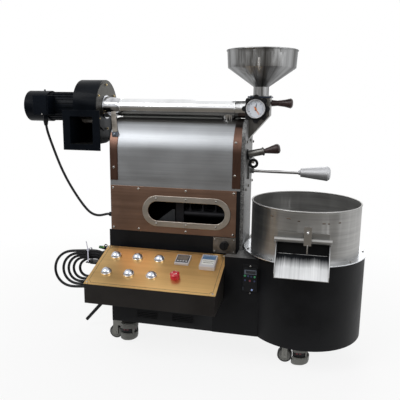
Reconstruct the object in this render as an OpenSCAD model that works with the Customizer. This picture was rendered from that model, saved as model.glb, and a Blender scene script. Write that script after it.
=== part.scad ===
// Gas drum coffee roaster on casters, with its cooling tray, exhaust blower and control desk.
// X runs along the drum towards the front plate, Y points to the back and Z points up.

/* [Stand and cabinet] */
// Height of the cabinet's underside above the floor
stand_h = 86; // [80:1:96]
// Height of the cabinet
cabinet_h = 244; // [230:1:260]
// Sheet thickness of the cabinet and the cooling base
cabinet_t = 2.5; // [1.5:0.5:4]
// Cabinet's left wall, to the right of the body's left end
cabinet_in = 30; // [24:1:40]
// How far the cabinet stands in front of the roaster body
cabinet_front = 82; // [70:1:95]
// How far the electrics column stands in front of the cabinet
column_out = 2; // [1:0.5:5]
// Left edge of the electrics column, from the body's left end
column_x = 388; // [370:1:400]
// How far the electrics column's top lies below the cooling base's deck
column_drop = 11; // [8:1:13]
// Height of each vent slot
vent_h = 3.5; // [2:0.5:5]
// Length of the vent slots
vent_w = 73; // [60:1:80]

/* [Roaster body] */
// Length of the copper window panel
panel_w = 446; // [430:1:470]
// Height of the copper window panel
panel_h = 160; // [150:1:175]
// Height of the black band below the window panel
band_h = 63; // [58:1:70]
// Thickness of the panels and bands bolted on the body
skin_t = 2; // [1.5:0.5:3]
// Thickness of the chamber's own sheet
chamber_t = 2; // [1.5:0.5:3]
// Outer radius of the jacket over the drum
jacket_r = 110; // [107:1:118]
// Thickness of the jacket sheet
jacket_t = 2; // [1:0.5:3]
// Height of the drum's axis above the window panel
axis_rise = 122; // [118:1:130]
// Thickness of the cast front plate
plate_t = 12; // [10:1:16]
// Width of the cast front plate
plate_w = 185; // [178:1:196]
// Thickness of the rear plate
rear_t = 8; // [6:1:10]
// Width of the straps round the jacket's ends
strap_w = 28; // [22:1:32]
// Thickness of those straps
strap_t = 2; // [1:0.5:3]

/* [Window] */
// Distance of the opening from the window panel's right end
window_end = 38; // [30:1:50]
// Height of the window opening
window_h = 69; // [60:1:76]
// Distance of the opening from the body's left end
window_x = 137; // [125:1:150]
// Height of the opening's lower edge above the band
window_up = 42; // [38:1:46]
// Width of the frame round the opening
frame_w = 20; // [14:1:24]
// Thickness of the frame
frame_t = 3; // [2:0.5:4]
// Size of the square burner knob plate
knob_plate = 54; // [50:1:56]
// Diameter of the burner knob
knob_d = 29; // [24:1:32]

/* [Drum and drive] */
// Outer radius of the drum
drum_r = 92; // [88:1:96]
// Thickness of the drum's shell
drum_t = 1.5; // [1:0.5:3]
// Height of the mixing vanes
vane_h = 18; // [12:1:19]
// Diameter of the drum shaft
shaft_d = 25; // [20:1:28]
// Radial clearance of the running fits
run_fit = 0.05; // [0.02:0.01:0.1]
// Pitch of the drive chain
chain_pitch = 9.525; // [9:0.025:10]
// Teeth of the drum's sprocket
drum_teeth = 23; // [20:1:24]
// Teeth of the motor's sprocket
motor_teeth = 15; // [13:1:16]
// Drop from the drum's axis to the motor's shaft
motor_drop = 400; // [385:1:408]

/* [Pipe and blower] */
// Outer radius of the exhaust pipe
pipe_r = 30.5; // [28:0.5:32]
// Wall of the exhaust pipe and reducer
pipe_t = 1.5; // [1:0.5:2]
// Gap between the jacket's top and the pipe
pipe_gap = 4; // [3:0.5:7]
// Length of the reducer and its flange
reducer_l = 57; // [50:1:65]
// Width of the blower's scroll
scroll_w = 90; // [80:1:100]
// Scroll radius at its tongue
scroll_r = 77.5; // [74:0.5:80]
// Growth of the scroll radius in a quarter turn
scroll_step = 17.5; // [15:0.5:19]
// Side of the square outlet flange
outlet_flange = 139; // [130:1:145]
// Radius of the blower motor's body
motor_r = 52; // [46:1:55]
// Length of the blower motor's body
motor_l = 120; // [110:1:130]
// Length of its fan cowl
cowl_l = 86; // [78:1:95]
// Radius of its fan cowl
cowl_r = 55.5; // [52:0.5:58]

/* [Hopper and chute] */
// Radius of the hopper's rim
hopper_r = 119; // [110:1:124]
// Height of the hopper's straight part
hopper_straight = 58; // [50:1:66]
// Height of the hopper's cone
hopper_cone = 61; // [55:1:70]
// Outer radius of the hopper's neck
neck_r = 26; // [24:1:28]
// Height of the neck
neck_h = 31; // [26:1:40]
// Sheet thickness of the hopper
hopper_t = 1.5; // [1:0.5:2]
// Length of the chute box along the drum's axis
chute_l = 67; // [64:1:72]
// Width of the chute box
chute_w = 70; // [66:1:76]
// Wall of the chute box
chute_t = 3; // [2:0.5:4]
// Height of the chute's top above the drum's axis
chute_up = 187; // [184:1:194]
// Diameter of the gauge's dial
dial_d = 61; // [56:1:64]

/* [Trier and door] */
// Slope of the trier in degrees
trier_tilt = 12.5; // [8:0.5:15]
// Radius of the trier's rod
trier_r = 7; // [6:0.5:8]
// Radius of the trier's sleeve
sleeve_r = 11.7; // [10.5:0.1:12.5]
// Length of the sleeve in front of the plate
sleeve_l = 59; // [50:1:66]
// Width of the discharge door
door_w = 64; // [58:1:68]
// Height of the discharge door
door_h = 56; // [52:1:60]
// Thickness of the discharge door
door_t = 6; // [5:1:8]
// Length of the door lever's rod
lever_l = 170; // [150:1:180]
// Length of the lever's grip
grip_l = 106; // [90:1:115]
// Largest radius of the lever's grip
grip_r = 25; // [22:0.5:27]

/* [Cooling tray] */
// Radius of the cooling base
base_r = 188; // [182:0.5:192]
// Distance of the base's centre from the tray's centre
base_shift = 9; // [5:0.5:10]
// Height of the cooling base
base_h = 277; // [266:1:290]
// How much larger the deck ring's radius is
deck_over = 12.5; // [10.5:0.5:16]
// Thickness of the deck ring
deck_t = 3; // [2:0.5:5]
// Radius of the tray
tray_r = 177; // [170:1:182]
// Height of the tray above its deck
tray_h = 159; // [150:1:170]
// Sheet thickness of the tray
tray_t = 1.5; // [1:0.5:3]
// Height of the tray's floor above the deck
floor_up = 27; // [24:1:32]
// Distance of the tray's centre behind the body's front
tray_y = 41; // [30:1:55]
// Width of the discharge chute
spout_w = 159; // [140:1:165]
// Height of the chute's opening
spout_h = 43; // [36:1:50]
// How far the chute's lip stands in front of the body
spout_out = 202; // [196:1:206]
// Travel of the tray's gate
tray_gate_up = 42; // [35:1:45]

/* [Control desk] */
// Length of the desk
desk_w = 426; // [415:1:440]
// Height of the desk's upper edge above the cabinet's top
desk_rise = 7.6; // [6:0.2:10]
// Height of the desk's front face
desk_face = 64; // [56:1:70]
// How far the desk's front face stands in front of the body
desk_out = 228; // [224:1:236]
// Distance of the desk's upper edge in front of the body
desk_back = 24; // [20:1:30]
// Drop of the desk's front edge below the cabinet's top
desk_drop = 60; // [52:1:68]
// Thickness of the gold panel
gold_t = 2; // [1.5:0.5:3]
// Diameter of the chrome buttons
button_d = 30; // [26:1:32]
// Travel of the buttons
button_in = 3; // [2:0.5:3.5]

/* [Casters] */
// Radius of the caster wheels
wheel_r = 24; // [20:1:24]
// Width of the caster wheels
wheel_w = 20; // [16:1:24]
// Distance of the wheel's axle from the swivel axis
wheel_off = 38; // [37:1:42]
// Clearance of the wheels above the floor
wheel_clear = 2; // [1:0.5:4]
// Radius of the levelling pads
pad_r = 17; // [14:1:18]

/* [Hidden] */
$fn = 64;

black = "#202022";
copper = "#6c4a3c";
steel = "#a8a8a4";
cast_grey = "#8c8780";
chrome = "#d4d7da";
gold = "#d2a050";
wood = "#3c2a2a";
rubber_black = "#161618";

// Heights of the stack above the floor
cab_top = stand_h + cabinet_h;
band_top = cab_top + band_h;
panel_top = band_top + panel_h;
axis_z = panel_top + axis_rise;
axis_y = jacket_r;
roof_z = axis_z + jacket_r;

// Body along its length
plate_gap = 12;
body_end = panel_w + plate_gap;
face_x = body_end + plate_t;
plate_y0 = 5;
plate_y1 = plate_y0 + plate_w;
plate_corner = 60;
back_y = 2 * jacket_r;
tuck = 46;

// Cooling tray and its base
deck_r = base_r + deck_over;
deck_gap = 1.5;
tray_x = face_x + deck_gap + deck_r;
base_x = tray_x + base_shift;
deck_z = stand_h + base_h;
deck_top = deck_z + deck_t;
rim_z = deck_top + tray_h;
floor_z = deck_top + floor_up;

// Pipe and blower
pipe_z = roof_z + pipe_gap + pipe_r;
flange_t = 3;
scroll_x1 = -reducer_l - flange_t;
scroll_x0 = scroll_x1 - scroll_w;
cowl_x1 = scroll_x0 - motor_l;
cowl_x0 = cowl_x1 - cowl_l;

// The origin lies on the floor under the middle of the whole
mid_x = (tray_x + deck_r + cowl_x0) / 2;
mid_y = (tray_y + deck_r - desk_out) / 2;

module set_down() {
    translate([-mid_x, -mid_y, 0]) children();
}

// Box between two corners
module block(x, y, z) {
    translate([x[0], y[0], z[0]]) cube([x[1] - x[0], y[1] - y[0], z[1] - z[0]]);
}

module rod_x(r, x, y, z) {
    translate([x[0], y, z]) rotate([0, 90, 0]) cylinder(r = r, h = x[1] - x[0]);
}

module rod_y(r, x, y, z) {
    translate([x, y[1], z]) rotate([90, 0, 0]) cylinder(r = r, h = y[1] - y[0]);
}

module rod_z(r, x, y, z) {
    translate([x, y, z[0]]) cylinder(r = r, h = z[1] - z[0]);
}

module tube_z(r, wall, x, y, z) {
    difference() {
        rod_z(r, x, y, z);
        rod_z(r - wall, x, y, [z[0] - 1, z[1] + 1]);
    }
}

// Outline in (y, z) carried along X, and outline in (x, z) carried along Y
module along_x(x) {
    translate([x[0], 0, 0]) rotate([90, 0, 90]) linear_extrude(x[1] - x[0]) children();
}

module along_y(y) {
    translate([0, y[1], 0]) rotate([90, 0, 0]) linear_extrude(y[1] - y[0]) children();
}

// Rounded bead of a rim, as a ring about the Z axis
module bead(r, thick) {
    rotate_extrude() translate([r, 0]) circle(r = thick, $fn = 24);
}

// Cabinet with the electrics column, wrapped round the cooling base
column_y = -cabinet_front - column_out;
column_top = deck_z - column_drop;
cab_x1 = base_x - sqrt(pow(base_r, 2) - pow(tray_y - column_y, 2));
cab_y1 = back_y;
base_gap = 0.5;
vent_in = [92, 218];
vent_x = [for (v = vent_in) cabinet_in + v];
vent_z = stand_h + 22;
vent_pitch = 6;
motor_z = axis_z - motor_drop;
chain_x = [-rear_t - 14, -rear_t - 8];
drive_shaft_r = 8;
gas_y = 20;
gas_z = stand_h + 101;
gas_r = 6;
gas_x = 80;

desk_x0 = -2;
desk_x1 = desk_x0 + desk_w;
panel_over = 1;

// The column's top is stepped in plan round the front plate: left edge and back of each step
step_fit = 0.5;
column_steps = [
    [desk_x1 + panel_over + step_fit, column_y + 34],
    [body_end + step_fit, plate_y0 - step_fit],
    [face_x + step_fit, cab_y1]];

module base_cabinet() color(black) set_down() difference() {
    union() {
        block([cabinet_in, cab_x1], [-cabinet_front, cab_y1], [stand_h, cab_top]);
        block([column_x, cab_x1], [column_y, -cabinet_front + 1], [stand_h, desk_bottom_z]);
        block([column_steps[0][0], cab_x1], [column_y, -cabinet_front + 1], [stand_h, cab_top]);
        for (c = column_steps) block([c[0], cab_x1], [column_y, c[1]], [cab_top - 1, column_top]);
    }
    block([cabinet_in + cabinet_t, cab_x1 + 1], [-cabinet_front + cabinet_t, cab_y1 - cabinet_t],
        [stand_h + cabinet_t, cab_top - cabinet_t]);
    for (c = column_steps)
        block([c[0] + cabinet_t, cab_x1 + 1], [column_y + cabinet_t, c[1] - cabinet_t],
            [cab_top - cabinet_t - 1, column_top - cabinet_t]);
    rod_z(base_r + base_gap, base_x, tray_y, [stand_h - 1, column_top + 1]);
    block([cabinet_in - 1, column_steps[0][0]], [column_y - 1, -desk_back], [desk_seat, cab_top + 1]);
    for (x = vent_x, row = [0:3])
        block([x, x + vent_w], [-cabinet_front - 1, -cabinet_front + cabinet_t + 1],
            [vent_z + row * vent_pitch, vent_z + row * vent_pitch + vent_h]);
    rod_x(drive_shaft_r + 3, [cabinet_in - 1, cabinet_in + cabinet_t + 1], axis_y, motor_z);
    rod_x(gas_r + 0.5, [cabinet_in - 1, cabinet_in + cabinet_t + 1], gas_y, gas_z);
    rod_z(gas_r + 0.5, gas_x, gas_y, [cab_top - cabinet_t - 1, cab_top + 1]);
    rod_x(gland_r, [cabinet_in - 1, cabinet_in + cabinet_t + 1], supply_gland[1], supply_gland[2]);
}

// Round base under the tray, with the deck ring on it
air_r = 62;

module cooling_base() color(black) set_down() {
    difference() {
        rod_z(base_r, base_x, tray_y, [stand_h, deck_z]);
        rod_z(base_r - cabinet_t, base_x, tray_y, [stand_h + cabinet_t, deck_z + 1]);
        rod_z(air_r, tray_x, tray_y, [stand_h - 1, stand_h + cabinet_t + 1]);
    }
    tube_z(deck_r, deck_r - tray_r + 6, tray_x, tray_y, [deck_z, deck_top]);
}

// Sloping desk: an outline in (y, z), hollow under its gold panel
desk_t = 2;
desk_top_z = cab_top + desk_rise;
desk_edge_z = cab_top - desk_drop;
desk_tilt = atan((desk_top_z - desk_edge_z) / (desk_out - desk_back));
desk_bottom_z = desk_edge_z - desk_face;
slope_l = (desk_out - desk_back) / cos(desk_tilt);

desk_seat = cab_top - 40;

module control_box() color(black) set_down() difference() {
    along_x([desk_x0, desk_x1]) polygon([
        [-cabinet_front, desk_bottom_z], [-desk_out, desk_bottom_z], [-desk_out, desk_edge_z],
        [-desk_back, desk_top_z], [-desk_back, desk_seat], [-cabinet_front, desk_seat]]);
    along_x([desk_x0 + desk_t, desk_x1 - desk_t]) polygon([
        [-cabinet_front - desk_t, desk_bottom_z + desk_t], [-desk_out + desk_t, desk_bottom_z + desk_t],
        [-desk_out + desk_t, desk_top_z + 1], [-desk_back - desk_t, desk_top_z + 1],
        [-desk_back - desk_t, desk_seat + desk_t], [-cabinet_front - desk_t, desk_seat + desk_t]]);
}

// Place on the desk's slope: x from the body's left end, s down from the upper edge
module on_desk(x, s) {
    translate([x, -desk_back - s * cos(desk_tilt), desk_top_z - s * sin(desk_tilt)])
        rotate([desk_tilt, 0, 0]) children();
}

panel_short = 1;
panel_l = slope_l - panel_short;
button_x = [49, 126, 203];
button_s = [58, 148];
button_at = [for (s = button_s, x = button_x) [x, s]];
button_stem = 10;
bezel_w = 2.4;
bezel_h = 5;
stop_at = [281, 144];
stop_stem = 9;
stop_r = 15.5;
controller = [260, 308, 29, 79];
timer = [347, 398, 28, 94];
cut_fit = 0.3;

module control_panel() color(gold) set_down() difference() {
    on_desk(desk_x0 - panel_over, panel_l) cube([desk_w + 2 * panel_over, panel_l, gold_t]);
    for (p = button_at) on_desk(p[0], p[1]) translate([0, 0, -1])
        cylinder(r = button_stem + run_fit, h = gold_t + 2);
    on_desk(stop_at[0], stop_at[1]) translate([0, 0, -1])
        cylinder(r = stop_stem + run_fit, h = gold_t + 2);
    for (r = [controller, timer]) on_desk(r[0] + 3, r[3] - 3) translate([0, 0, -1])
        cube([r[1] - r[0] - 6, r[3] - r[2] - 6, gold_t + 2]);
}

// Panel instruments, button collars and the thermostat on the column
controller_h = 8;
timer_h = 15;
body_deep = 18;
keypad_x = [488, 534];
keypad_z = [column_top - 108, column_top - 31];
keypad_t = 9;
keypad_tab = 12;
tab_thin = 2;

module instrument(r, proud) {
    on_desk(r[0], r[3]) translate([0, 0, gold_t]) cube([r[1] - r[0], r[3] - r[2], proud]);
    on_desk(r[0] + 3 + cut_fit, r[3] - 3 - cut_fit) translate([0, 0, gold_t - body_deep])
        cube([r[1] - r[0] - 6 - 2 * cut_fit, r[3] - r[2] - 6 - 2 * cut_fit, body_deep]);
}

module collar(p, r, h) {
    on_desk(p[0], p[1]) translate([0, 0, gold_t]) difference() {
        cylinder(r = r, h = h);
        translate([0, 0, -1]) cylinder(r = r - bezel_w, h = h + 2);
    }
}

module instruments() color("#2a2a2e") set_down() {
    instrument(controller, controller_h);
    instrument(timer, timer_h);
    for (p = button_at) collar(p, button_d / 2 + bezel_w + 0.3, bezel_h);
    collar(stop_at, stop_r - 1, bezel_h);
    block(keypad_x, [column_y - keypad_t, column_y], keypad_z);
    block(keypad_x, [column_y - tab_thin, column_y], [keypad_z[1], keypad_z[1] + keypad_tab]);
}

// Burner chamber below the drum, open to it, with the band and the knob plate on its front
knob_x = 410;
knob_plate_x = [370, 448];
knob_plate_z = cab_top + 34;
knob_z = knob_plate_z + 3;
knob_plate_t = 3;
window_w = panel_w - window_x - window_end;
chamber_top = panel_top + tuck;
window_z = band_top + window_up;
knob_stem = 4;

module slot_outline(grow) {
    r = window_h / 2 + grow;
    zc = window_z + window_h / 2;
    translate([window_x + window_h / 2, zc]) circle(r = r);
    translate([window_x + window_w - window_h / 2, zc]) circle(r = r);
    translate([window_x + window_h / 2, zc - r]) square([window_w - window_h, 2 * r]);
}

module burner_chamber() color(black) set_down() {
    difference() {
        block([0, body_end], [skin_t, back_y - skin_t], [cab_top, chamber_top]);
        block([chamber_t, body_end - chamber_t], [skin_t + chamber_t, back_y - skin_t - chamber_t],
            [cab_top + chamber_t, chamber_top + 1]);
        along_y([0, skin_t + chamber_t + 1]) slot_outline(0);
        rod_z(gas_r + 0.5, gas_x, gas_y, [cab_top - 1, cab_top + chamber_t + 1]);
        for (x = [-1, body_end - chamber_t - 1])
            rod_x(drum_r + drum_room, [x, x + chamber_t + 2], axis_y, axis_z);
        rod_y(knob_stem + run_fit, knob_x, [skin_t - 1, skin_t + chamber_t + 1], knob_z);
    }
    difference() {
        union() {
            block([-rear_t, body_end], [0, skin_t], [cab_top, band_top]);
            block(knob_plate_x, [-knob_plate_t, 0],
                [knob_plate_z - knob_plate / 2, knob_plate_z + knob_plate / 2]);
        }
        rod_y(knob_stem + run_fit, knob_x, [-knob_plate_t - 1, skin_t + 1], knob_z);
    }
}

module window_panel() color(copper) set_down() difference() {
    block([0, panel_w], [0, skin_t], [band_top, panel_top]);
    along_y([-1, skin_t + 1]) slot_outline(0);
}

module window_frame() color(steel) set_down() along_y([-frame_t, 0]) difference() {
    slot_outline(frame_w);
    slot_outline(0);
}

// Arch of the jacket in (y, z): a half circle on straight legs
module arch(r, foot_z) {
    intersection() {
        translate([axis_y, axis_z]) circle(r = r, $fn = 128);
        translate([axis_y - r, axis_z - 1]) square([2 * r, r + 1]);
    }
    translate([axis_y - r, foot_z]) square([2 * r, axis_z - foot_z]);
}

module arch_band(r, wall, foot_z, x) {
    along_x(x) difference() {
        arch(r, foot_z);
        arch(r - wall, foot_z - 1);
    }
}

neck_x = body_end - 62;
vent_neck_r = 22;

jacket_end_t = 3;
drum_room = 3;

module jacket() color(steel) set_down() {
    difference() {
        arch_band(jacket_r, jacket_t, panel_top, [0, body_end]);
        rod_z(vent_neck_r, neck_x, axis_y, [axis_z, roof_z + 1]);
    }
    for (x = [0, body_end - jacket_end_t]) along_x([x, x + jacket_end_t]) difference() {
        arch(jacket_r - jacket_t / 2, chamber_top);
        translate([axis_y, axis_z]) circle(r = drum_r + drum_room);
        translate([axis_y, axis_z - drum_r]) square(2 * (drum_r - 14), center = true);
    }
    // Closes the front end where the narrower front plate stops
    along_x([body_end - jacket_end_t, body_end]) intersection() {
        arch(jacket_r - jacket_t / 2, chamber_top);
        translate([plate_y1 - 4, chamber_top]) square([back_y, roof_z - chamber_top]);
    }
}

// Copper straps, the left one cut short at a clamp block, from where a flat hanger leans back
// to the pipe's reducer
strap_foot = [panel_top + 19, panel_top + 8];
strap_top = axis_z + 60;
clamp_x = [7, 27];
clamp_z = [axis_z + 46, axis_z + 62];
clamp_out = 5;
hanger_foot = [17, 10, axis_z + 61];
hanger_w = 18;
hanger_t = 3;
hanger_l = 112;
hanger_back = 47;
hanger_lean = 19.5;

module reducer_cone(r1, r2) {
    translate([-reducer_l + flange_t, axis_y, pipe_z]) rotate([0, 90, 0])
        cylinder(r1 = r1, r2 = r2, h = reducer_l - flange_t);
}

module end_straps() color(copper) set_down() {
    intersection() {
        arch_band(jacket_r + strap_t, strap_t, strap_foot[0], [0, strap_w]);
        block([-1, strap_w + 1], [-strap_t - 1, axis_y], [cab_top, strap_top]);
    }
    arch_band(jacket_r + strap_t, strap_t, strap_foot[1], [body_end - strap_w, body_end]);
    difference() {
        block(clamp_x, [-strap_t, axis_y / 2], clamp_z);
        block([clamp_x[0] - 1, clamp_x[1] + 1], [-strap_t - 1, clamp_out], clamp_z);
        rod_x(jacket_r + strap_t, [clamp_x[0] - 1, clamp_x[1] + 1], axis_y, axis_z);
    }
    difference() {
        translate(hanger_foot) rotate([-hanger_back, 0, 0]) rotate([0, -hanger_lean, 0])
            translate([-hanger_w / 2, -hanger_t / 2, 0]) cube([hanger_w, hanger_t, hanger_l]);
        reducer_cone(reducer_r, pipe_r);
        rod_x(pipe_r, [-1, strap_w], axis_y, pipe_z);
    }
}

// Rear plate with the shelf that carries the blower
bush_r = shaft_d / 2 + 8;
shelf_y = [axis_y + 48, axis_y + 82];
shelf_z = axis_z + 25;
shelf_t = 6;
tab_t = 4;
tab_h = 75;
brace_h = 40;

module rear_plate() color(black) set_down() {
    difference() {
        along_x([-rear_t, 0]) difference() {
            arch(jacket_r - jacket_t, cab_top);
            translate([-1, cab_top - 1]) square([18, jacket_r * 4]);
            translate([back_y - 10, cab_top - 1]) square([20, jacket_r * 4]);
        }
        rod_x(bush_r, [-rear_t - 1, 1], axis_y, axis_z);
        rod_x(gland_r, [-rear_t - 1, 1], motor_gland[1], motor_gland[2]);
    }
    block([-reducer_l, -rear_t], shelf_y, [shelf_z, shelf_z + shelf_t]);
    block([-reducer_l, -reducer_l + tab_t], shelf_y, [shelf_z, shelf_z + tab_h]);
    along_y([shelf_y[0], shelf_y[0] + tab_t]) polygon([
        [-reducer_l, shelf_z], [-rear_t, shelf_z], [-rear_t, shelf_z - brace_h]]);
}

// Cast front plate with its openings, the door's hinge lugs and the latch pin
trier_y = 50;
trier_z = axis_z - 4;
hinge_x = face_x + 9;
hinge_z = axis_z - 29;
hinge_r = 6;
pin_r = 3;
lug_w = 7;
lug_gap = 0.5;
door_z = hinge_z - 6;
mouth_margin = 5;
feed_z = [axis_z + 62, axis_z + 96];
latch_pin_x = face_x + 21;
latch_pin_z = axis_z - 31;
latch_y = [62, 68];
front_bush_l = 8;
boss_r = 17;
boss_h = 7;

module front_plate() color(cast_grey) set_down() {
    difference() {
        on_trier(-boss_h) cylinder(r = boss_r, h = 2 * boss_h);
        trier_hole();
    }
    difference() {
        along_x([body_end, face_x]) {
            translate([plate_y0, cab_top]) square([plate_w, roof_z - cab_top - plate_corner]);
            translate([plate_y0 + plate_corner, cab_top])
                square([plate_w - 2 * plate_corner, roof_z - cab_top]);
            for (y = [plate_y0 + plate_corner, plate_y1 - plate_corner])
                translate([y, roof_z - plate_corner]) circle(r = plate_corner);
        }
        block([body_end - 1, face_x + 1], [axis_y - 24, axis_y + 24], feed_z);
        block([body_end - 1, face_x + 1],
            [axis_y - door_w / 2 + mouth_margin, axis_y + door_w / 2 - mouth_margin],
            [door_z - door_h + mouth_margin, door_z - mouth_margin]);
        trier_hole();
        rod_x(bush_r, [body_end - 1, body_end + front_bush_l], axis_y, axis_z);
    }
    for (side = [-1, 1]) difference() {
        hull() {
            rod_y(hinge_r, hinge_x, lug_span(side), hinge_z);
            block([face_x - 0.5, face_x + 1], lug_span(side), [hinge_z - 9, hinge_z + 9]);
        }
        rod_y(pin_r, hinge_x, [axis_y - door_w, axis_y + door_w], hinge_z);
    }
    rod_y(pin_r, hinge_x, [lug_span(-1)[0], lug_span(1)[1]], hinge_z);
    block([face_x - 0.5, latch_pin_x + pin_r], [latch_y[1] + 1, latch_y[1] + 5],
        [latch_pin_z - pin_r - 2, latch_pin_z + pin_r + 2]);
    rod_y(pin_r, latch_pin_x, [latch_y[0] - 2, latch_y[1] + 5], latch_pin_z);
}

function lug_span(side) = side < 0
    ? [axis_y - door_w / 2 - lug_gap - lug_w, axis_y - door_w / 2 - lug_gap]
    : [axis_y + door_w / 2 + lug_gap, axis_y + door_w / 2 + lug_gap + lug_w];

// Place along the trier's axis: s from the plate's face, outwards
module on_trier(s) {
    translate([face_x, trier_y, trier_z]) rotate([0, 90 - trier_tilt, 0])
        translate([0, 0, s]) children();
}

module trier_hole() on_trier(-5 * plate_t) cylinder(r = sleeve_r + run_fit, h = 10 * plate_t);

module drum_bearings() color(steel) set_down() {
    difference() {
        union() {
            rod_x(bush_r, [-rear_t, 0], axis_y, axis_z);
            rod_x(bush_r + 5, [-rear_t - 4, -rear_t], axis_y, axis_z);
        }
        rod_x(shaft_d / 2 + run_fit, [-rear_t - 5, 1], axis_y, axis_z);
    }
    difference() {
        rod_x(bush_r, [body_end, body_end + front_bush_l], axis_y, axis_z);
        rod_x(shaft_d / 2 + run_fit, [body_end - 1, body_end + front_bush_l + 1], axis_y, axis_z);
    }
}

// Gearmotors of the drum and the stirrer, and the motor of the cooling fan
gearbox = [cabinet_in + cabinet_t, cabinet_in + cabinet_t + 46];
gearbox_half = 38;
drive_motor_r = 36;
drive_motor_l = 110;
stirrer_shaft_r = 9;
stirrer_motor_r = 38;
stirrer_motor_l = 108;
stirrer_motor_up = 12;
stirrer_box = [deck_z + stirrer_motor_up - stirrer_motor_l, deck_z + stirrer_motor_up];
fan_z = stand_h + 96;
fan_shaft_r = 6;
fan_motor_r = 34;
beam_w = 24;
beam_t = 6;
beam_drop = 24;
beam_z = [deck_z - beam_drop - beam_t, deck_z - beam_drop];
beam_end = 10;
beam_end_h = 20;
fan_arm = 12;

module motors() color("#3c4044") set_down() {
    difference() {
        block(gearbox, [axis_y - gearbox_half, axis_y + gearbox_half],
            [motor_z - gearbox_half, motor_z + gearbox_half]);
        rod_x(drive_shaft_r + run_fit, [gearbox[0] - 1, gearbox[0] + 32], axis_y, motor_z);
    }
    rod_x(drive_motor_r, [gearbox[1], gearbox[1] + drive_motor_l], axis_y, motor_z);
    difference() {
        union() {
            rod_z(stirrer_motor_r, tray_x, tray_y, stirrer_box);
            intersection() {
                rod_z(base_r - cabinet_t, base_x, tray_y, [beam_z[0] - beam_end_h, beam_z[1]]);
                union() {
                    block([base_x - base_r, base_x + base_r], [tray_y - beam_w / 2, tray_y + beam_w / 2],
                        beam_z);
                    for (x = [base_x - base_r, base_x + base_r - beam_end])
                        block([x, x + beam_end], [tray_y - beam_w / 2, tray_y + beam_w / 2],
                            [beam_z[0] - beam_end_h, beam_z[1]]);
                }
            }
        }
        rod_z(stirrer_shaft_r + run_fit, tray_x, tray_y, [stirrer_box[1] - 40, stirrer_box[1] + 1]);
    }
    difference() {
        rod_z(fan_motor_r, tray_x, tray_y, [stand_h + cabinet_t + fan_arm, fan_z - 6]);
        rod_z(fan_shaft_r + run_fit, tray_x, tray_y, [fan_z - 40, fan_z]);
    }
    for (a = [45:90:315]) translate([tray_x, tray_y, stand_h + cabinet_t]) rotate([0, 0, a])
        translate([0, -fan_arm / 2, 0]) cube([air_r + 14, fan_arm, fan_arm + 0.01]);
}

// Drive chain: an outline in (y, z) round both sprockets
drum_pitch_r = chain_pitch / (2 * sin(180 / drum_teeth));
motor_pitch_r = chain_pitch / (2 * sin(180 / motor_teeth));
chain_half = 4;
chain_lean = asin((drum_pitch_r - motor_pitch_r) / motor_drop);

function chain_loop(grow, n = 16) = concat(
    [for (i = [0:n]) let (a = -chain_lean + i * (180 + 2 * chain_lean) / n)
        [axis_y + (drum_pitch_r + grow) * cos(a), axis_z + (drum_pitch_r + grow) * sin(a)]],
    [for (i = [0:n]) let (a = 180 + chain_lean + i * (180 - 2 * chain_lean) / n)
        [axis_y + (motor_pitch_r + grow) * cos(a), motor_z + (motor_pitch_r + grow) * sin(a)]]);

module drive_chain() color("#55524e") set_down() along_x(chain_x) difference() {
    polygon(chain_loop(chain_half));
    polygon(chain_loop(-chain_half + 0.8));
}

guard_x0 = -rear_t - 21;
guard_half = 41;
guard_t = 1.5;
guard_top = axis_z + 46;
guard_foot = motor_z - 36;

module chain_guard() color(black) set_down() difference() {
    union() {
        block([guard_x0, -rear_t], [axis_y - guard_half, axis_y + guard_half], [cab_top, guard_top]);
        block([guard_x0, cabinet_in], [axis_y - guard_half, axis_y + guard_half],
            [guard_foot, cab_top]);
    }
    block([guard_x0 + guard_t, 0], [axis_y - guard_half + guard_t, axis_y + guard_half - guard_t],
        [cab_top - 20, guard_top - guard_t]);
    block([guard_x0 + guard_t, cabinet_in + 1],
        [axis_y - guard_half + guard_t, axis_y + guard_half - guard_t],
        [guard_foot + guard_t, cab_top - guard_t]);
    block([guard_x0 + guard_t, -rear_t + 1],
        [axis_y - guard_half + guard_t, axis_y + guard_half - guard_t],
        [cab_top - guard_t - 1, cab_top + 1]);
}

// Burner bars on a manifold behind a baffle, their gas pipe under them and the inlet stub at the
// cabinet's left wall
bar_z = band_top + 65;
bar_r = 13;
bar_y = [50, 110, 170];
bar_end = body_end - 28;
manifold_x = 240;
manifold_r = 8;
low_pipe_z = cab_top + 15;
chamber_floor = cab_top + chamber_t;
head_pitch = 46;
head_first = 36;
head_r = 9;
head_top = bar_z + 42;
pin_head_r = 3.5;
baffle_x = [228, 256];
baffle_y = [34, 37];
baffle_top = bar_z + 62;
gusset_y = [40, 43];
rest_x = [manifold_x + 4, bar_end - 20];
rest_w = 8;
stub_l = 212;
stub_tilt = 49;
tail_l = 40;
elbow_r = 9;

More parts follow.
